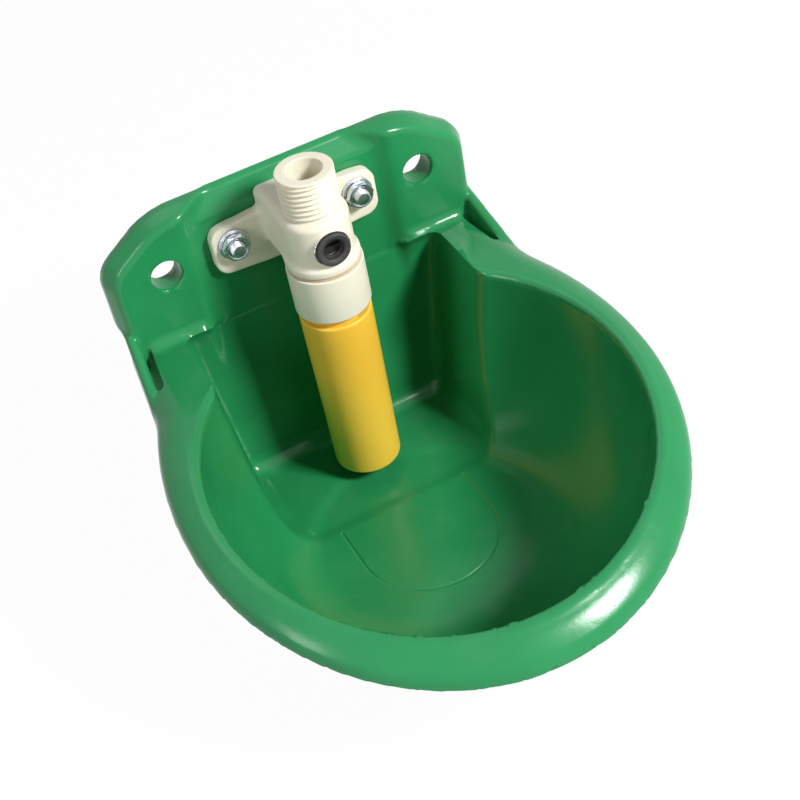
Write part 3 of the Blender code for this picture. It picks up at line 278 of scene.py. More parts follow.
@dataclass
class Skin:
    """Corners and faces of a piece in the making, in (x, front, height) millimetres."""

    points: Array
    faces: list

    @classmethod
    def of(cls, points: Array, faces: Array | list) -> "Skin":
        """A skin from corners and faces."""
        return cls(np.asarray(points, float), [tuple(int(i) for i in face) for face in faces])

    def __add__(self, other: "Skin") -> "Skin":
        """Both skins as one."""
        shift = len(self.points)
        moved = [tuple(i + shift for i in face) for face in other.faces]
        return Skin(np.concatenate([self.points, other.points]), self.faces + moved)

    def shifted(self, x: float = 0.0, front: float = 0.0, height: float = 0.0) -> "Skin":
        """The skin moved."""
        return Skin(self.points + np.array([x, front, height]), self.faces)

    def facing_front(self) -> "Skin":
        """The skin of an upright piece, laid down so that its top points out from the wall."""
        x, front, height = self.points.T
        return Skin(np.stack([x, height, -front], 1), self.faces)

    def piece(self, name: str, auto: bool = True) -> bpy.types.Object:
        """A mesh object in the frame, smooth, with faces outward.

        Args:
            name: Name of the piece.
            auto: Whether faces are turned outward by Blender, for skins put together from parts.

        Returns:
            The object.
        """
        mesh = bpy.data.meshes.new(name)
        mesh.from_pydata(into_frame(self.points), [], [face[::-1] for face in self.faces])
        if auto:
            edit = bmesh.new()
            edit.from_mesh(mesh)
            bmesh.ops.remove_doubles(edit, verts=edit.verts, dist=1e-6)
            bmesh.ops.recalc_face_normals(edit, faces=edit.faces)
            edit.to_mesh(mesh)
            edit.free()
        mesh.shade_smooth()
        mesh.set_sharp_from_angle(angle=SMOOTH_ANGLE)
        piece = bpy.data.objects.new(name, mesh)
        bpy.context.scene.collection.objects.link(piece)
        return piece


def sheet(points: Array, closed_u: bool = False, closed_v: bool = False) -> Skin:
    """A skin over a grid of places.

    Args:
        points: Places (m, n, 3).
        closed_u: Whether the first and last rows are joined.
        closed_v: Whether the first and last columns are joined.

    Returns:
        The skin.
    """
    rows, columns = points.shape[:2]
    index = np.arange(rows * columns).reshape(rows, columns)
    if closed_u:
        index = np.concatenate([index, index[:1]])
    if closed_v:
        index = np.concatenate([index, index[:, :1]], axis=1)
    faces = np.stack([index[:-1, :-1], index[:-1, 1:], index[1:, 1:], index[1:, :-1]], -1).reshape(-1, 4)
    return Skin.of(points.reshape(-1, 3), faces)


def rounded_profile(corners: Sequence[tuple[float, float, float]], steps: int = 5,
                    closed: bool = True) -> Array:
    """A line through corners, each turned as a smooth bend.

    Formula: every corner with a radius becomes a quadratic curve between two points that lie that
    far from it on its two sides.

    Args:
        corners: (across, up, bend radius) of each corner.
        steps: Points in each bend.
        closed: Whether the line ends where it starts.

    Returns:
        Places (n, 2).
    """
    spots = np.array([corner[:2] for corner in corners], float)
    line = []
    for i, (across, up, radius) in enumerate(corners):
        ends = not closed and i in (0, len(corners) - 1)
        if radius <= 0 or ends:
            line.append(spots[i : i + 1])
            continue
        before, after = spots[i - 1] - spots[i], spots[(i + 1) % len(spots)] - spots[i]
        sizes = np.linalg.norm(before), np.linalg.norm(after)
        reach = min(radius, sizes[0] * 0.49, sizes[1] * 0.49)
        start, end = spots[i] + before / sizes[0] * reach, spots[i] + after / sizes[1] * reach
        share = np.linspace(0, 1, steps + 1)[:, None]
        line.append((1 - share) ** 2 * start + 2 * share * (1 - share) * spots[i] + share**2 * end)
    return np.concatenate(line)


def turned(profile: Array, segments: int = 96, start: float = 0.0, sweep: float = TURN) -> Skin:
    """A piece turned about the upright axis through x = 0, front = 0.

    Formula: (radius sin a, radius cos a, height) for every profile point and every angle a.

    Args:
        profile: Closed line of (radius, height).
        segments: Steps round the axis.
        start: First angle, from the front towards the right.
        sweep: Angle swept; less than a full turn is closed by its two ends.

    Returns:
        The skin.
    """
    whole = sweep >= TURN - 1e-6
    angles = start + sweep * np.arange(segments + (0 if whole else 1)) / segments
    radius, height = profile[None, :, 0], profile[None, :, 1]
    points = np.stack([radius * np.sin(angles)[:, None], radius * np.cos(angles)[:, None],
                       height + 0 * angles[:, None]], -1)
    skin = sheet(points, closed_u=whole, closed_v=True)
    if not whole:
        count = len(profile)
        last = (len(angles) - 1) * count
        skin.faces += [tuple(range(count)), tuple(range(last + count - 1, last - 1, -1))]
    return skin


def threaded(profile: Array, depth: float, pitch: float, span: tuple[float, float], fade: float,
             inner: float, segments: int = 96) -> Skin:
    """A turned piece with a screw thread on its outside.

    Formula: the profile's radius falls by the depth times half of 1 - cos of the turn of
    height / pitch less the angle, and that fall fades out towards both ends of the thread.

    Args:
        profile: Closed line of (radius, height), close enough spaced along the thread.
        depth: Depth of the valleys.
        pitch: Rise for each turn.
        span: Lowest and highest height of the thread.
        fade: Length over which it starts and ends.
        inner: Radius below which the profile isn't threaded.
        segments: Steps round the axis.

    Returns:
        The skin.
    """
    angle = (TURN * np.arange(segments) / segments)[:, None]
    radius, height = profile[None, :, 0], profile[None, :, 1]
    wave = (0.5 - 0.5 * np.cos(TURN * height / pitch - angle)) ** 0.8
    ends = np.clip((height - span[0]) / fade, 0, 1) * np.clip((span[1] - height) / fade, 0, 1)
    across = radius - np.where(radius > inner, depth * wave * ends**2 * (3 - 2 * ends), 0.0)
    points = np.stack([across * np.sin(angle), across * np.cos(angle), height + 0 * angle], -1)
    return sheet(points, closed_u=True, closed_v=True)


def hexagon_nut(flats: float, bore: float, low: float, high: float, chamfer: float) -> Skin:
    """A hexagonal nut with turned-down corners and a bore with a lead-in.

    Formula: round the nut the outside is the smaller of the hexagon's radius at that angle,
    half the flats over the cosine of the angle from the nearest flat's middle, and the radius of
    the chamfer cone at that height.

    Args:
        flats: Width across the flats.
        bore: Radius of the bore.
        low: Lower face.
        high: Upper face.
        chamfer: Height that the cone takes off at the corners.

    Returns:
        The skin.
    """
    segments = 96
    angle = (TURN * np.arange(segments) / segments)[None, :]
    nearest = (angle + TURN / 12) % (TURN / 6) - TURN / 12
    hexagon = flats / 2 / np.cos(nearest)
    corner, face, lead_in = flats * 0.525, flats / 2 * 0.985, 0.45
    heights = np.array([low, low, low + chamfer * 0.4, low + chamfer, high - chamfer, high - chamfer * 0.4,
                        high, high])[:, None]
    cones = np.array([face * 0.98, face, face + (corner - face) * 0.55, corner + 1, corner + 1,
                      face + (corner - face) * 0.55, face, face * 0.98])[:, None]
    outside = np.minimum(hexagon, cones)
    inner_heights = np.array([high, high - lead_in, low + lead_in, low])[:, None]
    inner = np.array([bore + lead_in, bore, bore, bore + lead_in])[:, None] + 0 * angle
    radius = np.concatenate([outside, inner])
    height = np.concatenate([heights, inner_heights]) + 0 * angle
    points = np.stack([radius * np.sin(angle), radius * np.cos(angle), height], -1)
    return sheet(points, closed_u=True, closed_v=True)


def rounded_bar(length: float, width: float, low: float, high: float, radius: float) -> Skin:
    """A bar along x with rounded long edges.

    Formula: a rounded rectangle (front, height) carried from one end of x to the other, where it
    is closed.

    Args:
        length: Length along x, about the middle.
        width: Width out from the wall.
        low: Underside.
        high: Top.
        radius: Bend at the long edges.

    Returns:
        The skin.
    """
    half = width / 2
    section = rounded_profile([(-half, low, radius), (half, low, radius),
                               (half, high, radius), (-half, high, radius)])
    places = np.array([-length / 2, length / 2])
    points = np.stack([np.repeat(places[:, None], len(section), 1), np.repeat(section[None, :, 0], 2, 0),
                       np.repeat(section[None, :, 1], 2, 0)], -1)
    skin = sheet(points, closed_v=True)
    count = len(section)
    skin.faces += [tuple(range(count))[::-1], tuple(range(count, 2 * count))]
    return skin


@dataclass
class BowlShell:
    """The moulded bowl with its rim, niche, ledges, side struts and back plate."""

    pitch: float = 1.34
    wall: float = 3.0
    half_width: float = 88.5
    centre: float = 97.7
    front_reach: float = 93.0
    rear_reach: float = 112.0
    end_half_width: float = 73.0
    end_front: float = 10.0
    bend_front: float = 42.5
    bend_softness: float = 1.4
    skirt_depth: float = 8.3
    rim_round: float = 2.0
    rim_fillet: float = 2.0
    lip_rise: float = 5.3
    lip_width: float = 11.6
    lip_front_width: float = 14.05
    rim_radius: float = 76.9
    rim_centre: float = 99.75
    floor_height: float = 5.0
    floor_centre: float = 80.0
    floor_half_width: float = 38.0
    floor_half_length: float = 42.0
    foot: float = 2.0
    foot_width: float = 5.0
    foot_round: float = 0.6
    foot_fillet: float = 0.8
    bowl_fillet: float = 2.5
    niche_top_half: float = 53.5
    niche_floor_half: float = 45.0
    niche_floor_rear: float = 10.0
    niche_reach: float = 62.0
    niche_end_length: float = 20.0
    niche_end_taper: float = 12.0
    niche_end_steepening: float = 0.4
    niche_front_round: float = 1.0
    niche_outer_round: float = 1.5
    niche_corner: float = 5.0
    niche_foot: float = 7.0
    crease_round: float = 3.0
    ledge_fillet: float = 4.3
    ledge_low: float = 4.0
    ledge_half: float = 71.0
    ledge_fade: float = 3.0
    sill_front: float = 11.6
    sill_inset: float = 3.5
    sill_run: float = 5.0
    mouth_round: float = 2.9
    rear_height: float = 82.8
    plate_top: float = 133.2
    plate_top_half: float = 51.0
    plate_half: float = 73.2
    plate_shoulder: float = 117.5
    plate_waist: float = 44.0
    plate_foot_half: float = 48.0
    plate_top_lean: float = 2.2
    plate_corner_lean: float = 2.5
    plate_side_lean: float = 2.8
    plate_lean_run: float = 8.0
    plate_corner_round: float = 5.0
    plate_foot_round: float = 6.0
    plate_back_round: float = 0.6
    plate_fillet: float = 0.5
    pad_front: float = 9.75
    pad_round: float = 1.9
    recess_front: float = 6.5
    recess_half: float = 36.0
    recess_mouth: float = 41.0
    recess_top: float = 125.0
    recess_round: float = 1.6
    recess_edge_round: float = 1.1
    recess_foot: float = 4.0
    recess_foot_run: float = 2.5
    rib_spacing: float = 24.0
    rib_half: float = 1.25
    pocket_round: float = 0.5
    pocket_side: float = 3.3
    top_edge: float = 1.6
    hole_half_spacing: float = 51.2
    hole_height: float = 110.3
    hole_radius: float = 6.0
    hole_boss_radius: float = 10.0
    hole_round: float = 0.7
    hole_depth: float = 30.0
    stud_half_spacing: float = 25.0
    stud_height: float = 113.3
    stud_hole: float = 3.3
    strut_top: float = 93.2
    strut_front: float = 33.2
    strut_thickness: float = 4.2
    strut_back: float = 3.0
    strut_round: float = 2.0
    strut_fillet: float = 1.0
    slot_width: float = 3.2
    slot_front_round: float = 2.4
    slot_back_round: float = 1.5
    slot_end: float = 2.0
    panel_half: float = 26.9
    panel_start: float = 43.0
    panel_front: float = 108.5
    line_width: float = 0.8
    line_depth: float = 0.45
    line_fade: float = 6.0
    line_reach: float = 1.6
    line_cuts: int = 4
    flatness: float = 0.05
    rim_places: tuple[tuple[float, float], ...] = ((176.65, 59.0), (100.0, 76.0), (12.0, 82.8))

    def rim_height(self, front: Array) -> Array:
        """Height of the rim's inner edge: the curve of second degree through three known heights."""
        places, heights = zip(*self.rim_places)
        curve = np.polyfit(places, heights, 2)
        return np.polyval(curve, front)

    def rim_slope(self, front: Array) -> Array:
        """How fast the rim's height changes along the front distance."""
        places, heights = zip(*self.rim_places)
        return np.polyval(np.polyder(np.polyfit(places, heights, 2)), front)

    def spread(self, x: Array, front: Array) -> tuple[Array, Array, Array]:
        """Which oval of the bowl's family passes over a place, from 0 at the floor to 1 at the rim.

        Formula: half width, half length and centre change evenly with the spread, and Newton
        steps find the spread at which the place lies on the oval.

        Args:
            x: Places across.
            front: Places out from the wall.

        Returns:
            The spread, the length of its slope, and the cosine of the oval's angle there.
        """
        grow_half = self.rim_radius - self.floor_half_width
        grow_length = self.rim_radius - self.floor_half_length
        drift = self.rim_centre - self.floor_centre
        share = np.full(np.broadcast(x, front).shape, 0.8)
        for _ in range(7):
            half = self.floor_half_width + grow_half * share
            length = self.floor_half_length + grow_length * share
            along = front - self.floor_centre - drift * share
            rho = np.hypot(x / half, along / length)
            fall = -(x**2 * grow_half / half**3 + along * (drift * length + along * grow_length) / length**3)
            fall = fall / np.maximum(rho, 1e-6)
            share = np.clip(share - (rho - 1) / np.minimum(fall, -1e-4), -0.6, 3.0)
        slope = np.hypot(x / half**2, along / length**2) / np.maximum(rho, 1e-6) / np.maximum(-fall, 1e-4)
        return share, slope, np.clip(along / length / np.maximum(rho, 1e-6), -1, 1)

    def hollow(self, x: Array, front: Array, height: Array) -> Array:
        """The bowl's inside: a quarter ellipse from the floor's edge up to the round rim."""
        share, slope, ahead = self.spread(x, front)
        top = self.rim_height(self.rim_centre + self.rim_radius * ahead)
        depth = top - self.floor_height
        spread = np.maximum(share, 0)
        drop = np.where(height < top, (top - height) / depth, 0.0)
        radius = np.hypot(spread, drop)
        size = np.hypot(spread * slope, drop / depth) / np.maximum(radius, 1e-6)
        return (radius - 1) / np.maximum(size, 1 / 200)

    def niche(self, x: Array, front: Array, height: Array) -> Array:
        """The niche round the tube: a box that widens upward, with round corners and ends.

        Formula: half width and rear wall change evenly with the height. Under the pads the rear
        wall bends out to a sill near the top, and the ends taper like a quarter ellipse.

        Args:
            x: Places across.
            front: Places out from the wall.
            height: Heights.

        Returns:
            Distances, negative in the niche.
        """
        share = (height - self.floor_height) / (self.rear_height - self.floor_height)
        half = self.niche_floor_half + (self.niche_top_half - self.niche_floor_half) * share
        beside = np.clip((np.abs(x) - self.recess_mouth + self.sill_inset) / self.sill_run, 0, 1)
        share = np.clip(share, 0, 1)
        sill = (self.sill_front - self.recess_front) * beside**2 * (3 - 2 * beside) * share**7
        rear = self.niche_floor_rear + (self.recess_front - self.niche_floor_rear) * share + sill
        end = np.clip((front - self.niche_reach) / self.niche_end_length + 1, 0, 0.999)
        taper = self.niche_end_taper * (1 - np.sqrt(1 - end**2))
        steep = 1 + self.niche_end_steepening * end**4
        side = (np.abs(x) - half + taper) / steep
        walls = round_and(side, rear - front, self.niche_corner)
        walls = round_and(walls, front - self.niche_reach, self.niche_front_round)
        return round_and(walls, self.floor_height - height, self.niche_foot)

    def outline_gap(self, x: Array, front: Array) -> Array:
        """Distance outside the rim's outline: an oval, with straight sides behind the bend.

        Formula: behind the oval's middle the half width is the larger of the oval's and the
        straight line's, with a soft change from one to the other, and never past the widest.

        Args:
            x: Places across.
            front: Places out from the wall.

        Returns:
            Distances, negative inside.
        """
        behind = np.maximum(self.centre - front, 0) / self.rear_reach
        oval = self.half_width * np.sqrt(np.maximum(1 - behind**2, 0.01))
        oval_slope = self.half_width**2 * behind / self.rear_reach / oval
        lean = self.side_lean()
        line = self.end_half_width + lean * (front - self.end_front)
        soft = np.hypot(oval - line, self.bend_softness)
        half = np.minimum((oval + line + soft) / 2, self.half_width)
        slope = (oval_slope + lean + (oval - line) * (oval_slope - lean) / soft) / 2
        rear = (np.abs(x) - half) / np.hypot(1, slope)
        ahead = ellipse_gap(x, front, self.half_width, self.front_reach, self.centre)
        return np.where(front < self.centre, rear, ahead)

    def side_lean(self) -> float:
        """How far the straight sides lean outward for each step towards the front."""
        bend_half = self.half_width * math.sqrt(1 - ((self.centre - self.bend_front) / self.rear_reach) ** 2)
        return (bend_half - self.end_half_width) / (self.bend_front - self.end_front)

    def lip_face(self, gap: Array, front: Array, height: Array) -> Array:
        """Distance above the rim's upper face, which rises and flattens inward.

        Args:
            gap: Distances outside the outline.
            front: Places out from the wall.
            height: Heights.

        Returns:
            Distances, negative under the face.
        """
        ahead = np.clip((front - self.centre) / self.front_reach, 0, 1) ** 2
        width = self.lip_width + (self.lip_front_width - self.lip_width) * ahead
        short = np.clip(1 + gap / width, 0, 1)
        top = self.rim_height(front) - self.lip_rise * short**2
        slope = np.hypot(2 * self.lip_rise * short / width, self.rim_slope(front))
        return (height - top) / np.hypot(1, slope)

    def rim(self, x: Array, front: Array, height: Array) -> Array:
        """The deck and its lip: a short upright skirt, then a face that rises and flattens inward."""
        gap = self.outline_gap(x, front)
        face = self.lip_face(gap, front, height)
        foot = self.rim_height(front) - self.skirt_depth - height
        deck = round_and(round_and(face, gap, self.rim_round), foot, 0.0)
        under = round_and(face + self.wall, gap + self.wall, self.rim_round)
        return round_and(deck, -under, 0.0)

    def plate_outline(self, side: Array, inset: Array | float, height: Array) -> Array:
        """The plate's outline, seen from the front: a flat top, cut corners and a foot that narrows.

        Args:
            side: Places across, without their sign.
            inset: How far the edges lean in, from 0 at the wall to 1 at the pads' face.
            height: Heights.

        Returns:
            Distances, negative inside.
        """
        corner_run = self.plate_half - self.plate_top_half, self.plate_top - self.plate_shoulder
        corner_size = math.hypot(*corner_run)
        foot_run = self.plate_half - self.plate_foot_half
        foot_size = math.hypot(foot_run, self.plate_waist)
        top = height - self.plate_top + self.plate_top_lean * inset
        corner = corner_run[1] * (side - self.plate_top_half) + corner_run[0] * (height - self.plate_top)
        corner = corner / corner_size + self.plate_corner_lean * inset
        below_strut = np.clip((self.strut_top - height) / self.plate_lean_run, 0, 1)
        tuck = self.plate_side_lean * np.maximum(inset, below_strut)
        edge = side - self.plate_half + tuck
        low = (self.plate_waist * (side - self.plate_foot_half) - foot_run * height) / foot_size + tuck
        upper = round_and(top, corner, self.plate_corner_round)
        return round_and(upper, round_and(edge, low, self.plate_foot_round), self.plate_corner_round)

    def plate(self, x: Array, front: Array, height: Array) -> Array:
        """The back plate up to its pads' face, with edges that lean in and turn round."""
        inset = np.clip((front - self.pad_front / 3) / (self.pad_front * 2 / 3), 0, 1)
        outline = self.plate_outline(np.abs(x), inset, height)
        face = round_and(np.maximum(outline, -height), front - self.pad_front, self.pad_round)
        return round_and(face, -front, self.plate_back_round)

    def recess(self, x: Array, front: Array, height: Array) -> Array:
        """The valve's shallow seat: slanted sides, and a top that slopes back to the wall."""
        rise = (self.recess_front - self.top_edge) / (self.plate_top - self.recess_top)
        seat = self.recess_front - front
        bank = (self.recess_front - (height - self.recess_top) * rise - front) / math.hypot(1, rise)
        flare = (self.recess_mouth - self.recess_half) / (self.pad_front - self.recess_front)
        reach = np.minimum(front, self.pad_front + 1.0) - self.recess_front
        reach = reach * np.clip((height - self.rear_height) / self.recess_foot_run + 1, 0, 1)
        sides = (np.abs(x) - self.recess_half - flare * reach) / math.hypot(1, flare)
        hollow = round_and(np.minimum(seat, bank), sides, self.recess_round)
        return round_and(hollow, self.rear_height - self.recess_foot - height, self.pocket_round)

    def pockets(self, x: Array, front: Array, height: Array) -> Array:
        """The hollows behind the plate, round its ribs and the bosses of the wall holes."""
        side = np.abs(x)
        inner = self.plate_outline(side, 1.0, height) + self.wall * 0.8
        shallow = np.maximum(inner, front - self.recess_front + self.wall)
        ribs = np.abs(side % self.rib_spacing - self.rib_spacing / 2)
        ribs = np.where(height < self.rear_height, self.rib_half - ribs, -FAR)
        pads = np.maximum(inner, front - self.pad_front + self.wall + 0.2)
        pads = np.maximum(pads, self.recess_mouth + self.pocket_side - side)
        pads = np.maximum(pads, self.rear_height + self.wall - height)
        boss = self.hole_boss_radius - np.hypot(side - self.hole_half_spacing, height - self.hole_height)
        ridge = np.minimum(self.recess_mouth + self.wall - side, height - self.recess_top + self.wall / 2)
        hollow = np.maximum(round_and(shallow, ribs, self.pocket_round), ridge)
        return round_and(np.minimum(hollow, pads), boss, self.pocket_round)

    def strut_face(self, x: Array, front: Array) -> Array:
        """Distance outside the strut's outer face."""
        lean = self.side_lean()
        return (np.abs(x) - self.end_half_width - lean * (front - self.end_front)) / math.hypot(1, lean)

    def strut(self, x: Array, front: Array, height: Array) -> Array:
        """The upright web beside the plate, with a sloping top edge."""
        face = self.strut_face(x, front)
        low = self.rear_height - self.skirt_depth
        foot_top = self.rear_height - self.skirt_depth / 2
        fall = (self.strut_top - foot_top) / (self.strut_front - self.end_front / 2)
        top = (height - self.strut_top + fall * (front - self.end_front / 2)) / math.hypot(1, fall)
        web = round_and(face, top, self.strut_round)
        web = round_and(web, -face - self.strut_thickness, self.strut_round)
        ends = np.maximum(front - self.strut_front - self.strut_back, self.strut_back - front)
        return np.maximum(np.maximum(web, low - height), ends)

    def strap_slot(self, x: Array, front: Array, height: Array) -> Array:
        """The slot down through the ledge, just inside the strut."""
        face = self.strut_face(x, front) + self.strut_thickness
        slot = np.maximum(face, -face - self.slot_width)
        slot = round_and(slot, front - self.strut_front + self.slot_end, self.slot_front_round)
        slot = round_and(slot, self.pad_front + 0.5 - front, self.slot_back_round)
        return np.maximum(slot, self.rear_height - 2 * self.skirt_depth - height)

    def foot_ring(self, x: Array, front: Array, height: Array) -> Array:
        """The ring under the floor on which the bowl stands."""
        oval = ellipse_gap(x, front, self.floor_half_width, self.floor_half_length, self.floor_centre)
        ring = np.maximum(oval, height - self.floor_height + 1.0)
        return round_and(ring, -height, self.foot_round)

    def solid(self, x: Array, front: Array, height: Array) -> Array:
        """Distance from the whole shell.

        Formula: the rim, the outer bowl, the outer niche and the foot ring are joined, the seam at
        the rim's inner edge is filled, and the bowl's and niche's hollows are cut out with a round
        mouth where they meet the rim. The plate joins them with the ledges' fillet, then the
        struts; the recess, the pockets, the slots, the holes and the underside are cut last.

        Args:
            x: Places across.
            front: Places out from the wall.
            height: Heights.

        Returns:
            Distances, negative in the plastic.
        """
        side = np.abs(x)
        hollow = self.hollow(x, front, height)
        niche = self.niche(x, front, height)
        over = height - (self.rim_height(front) - self.wall / 2)
        outer = np.maximum(hollow - self.wall, over)
        outer_niche = round_and(niche - self.wall, -height, self.niche_outer_round)
        outer_niche = round_and(outer_niche, over, self.pocket_round)
        bowl = round_or(outer, outer_niche, self.bowl_fillet)
        bowl = round_or(bowl, self.foot_ring(x, front, height), self.foot_fillet)
        body = round_or(self.rim(x, front, height), bowl, self.rim_fillet)
        face = self.lip_face(self.outline_gap(x, front), front, height)
        body = np.minimum(body, np.maximum(hollow - self.wall, face))
        body = np.maximum(body, self.recess_front / 2 - front)
        mouth = self.mouth_round * np.clip((niche - hollow) / self.niche_foot + 0.6, 0, 1)
        mouth = np.where(mouth < self.mouth_round / 3, 0.0, mouth)
        body = round_and(body, -round_or(hollow, niche, self.crease_round), mouth)
        niche_below = np.maximum(niche, height - self.rear_height)
        plate = round_and(self.plate(x, front, height), -niche_below, self.mouth_round)
        above = np.clip((height - self.rear_height + self.ledge_low) / self.ledge_fade, 0, 1)
        above = above * np.clip((self.ledge_half - side) / self.ledge_fade, 0, 1)
        body = round_or(body, plate, self.plate_fillet + self.ledge_fillet * above)
        body = round_or(body, self.strut(x, front, height), self.strut_fillet)
        body = round_and(body, -self.recess(x, front, height), self.recess_edge_round)
        body = round_and(body, -self.pockets(x, front, height), 0.0)
        body = round_and(body, -self.strap_slot(x, front, height), 0.0)
        hole = np.hypot(side - self.hole_half_spacing, height - self.hole_height) - self.hole_radius
        bore = np.hypot(side - self.stud_half_spacing, height - self.stud_height) - self.stud_hole
        hole = np.where(front < self.hole_depth, np.minimum(hole, bore), FAR)
        body = round_and(body, -hole, self.hole_round)
        under = ellipse_gap(x, front, self.floor_half_width - self.foot_width,
                            self.floor_half_length - self.foot_width, self.floor_centre)
        return round_and(body, -np.maximum(under, height - self.foot), 0.0)

    def line_gap(self, x: Array, front: Array) -> Array:
        """Distance in plan from the U-shaped line in the floor."""
        centre = self.panel_front - self.panel_half
        curve = np.abs(np.hypot(x, np.maximum(front - centre, 0)) - self.panel_half)
        return np.hypot(curve, np.maximum(self.panel_start - front, 0))

    def build(self) -> Skin:
        """The shell's skin."""
        room = 2 * self.pitch
        low = (-self.half_width - room, -room, -room)
        high = (self.half_width + room, self.centre + self.front_reach + room, self.plate_top + room)
        points, faces = level_surface(self.solid, low, high, self.pitch)
        points[:, 0] = np.clip(points[:, 0], -self.half_width, self.half_width)
        points[:, 1] = np.clip(points[:, 1], 0.0, self.centre + self.front_reach)
        points[:, 2] = np.maximum(points[:, 2], 0.0)
        return Skin(points, faces)

    def engrave(self, shell: bpy.types.Object) -> None:
        """Cuts the fine line into the floor: faces along it are divided and their corners lowered."""
        edit = bmesh.new()
        edit.from_mesh(shell.data)
        near = []
        for face in edit.faces:
            middle = face.calc_center_median() / MILLIMETRE
            gap = float(self.line_gap(np.float64(middle.x), np.float64(WALL_PLACE - middle.y)))
            flat = abs(middle.z - self.floor_height) < self.flatness and face.normal.z > 0.99
            if flat and gap < self.line_reach:
                near.append(face)
        edges = list({edge for face in near for edge in face.edges})
        bmesh.ops.subdivide_edges(edit, edges=edges, cuts=self.line_cuts, use_grid_fill=True)
        edit.to_mesh(shell.data)
        edit.free()
        places = np.empty(len(shell.data.vertices) * 3)
        shell.data.vertices.foreach_get("co", places)
        places = places.reshape(-1, 3)
        x, front = places[:, 0] / MILLIMETRE, WALL_PLACE - places[:, 1] / MILLIMETRE
        on_floor = np.abs(places[:, 2] / MILLIMETRE - self.floor_height) < self.flatness
        groove = np.clip(1 - self.line_gap(x, front) / (self.line_width * 0.75), 0, 1)
        start = np.clip((front - self.panel_start) / self.line_fade, 0, 1)
        drop = self.line_depth * np.sin(groove * math.pi / 2) * start * on_floor
        places[:, 2] -= drop * MILLIMETRE
        shell.data.vertices.foreach_set("co", places.ravel())
        shell.data.update()


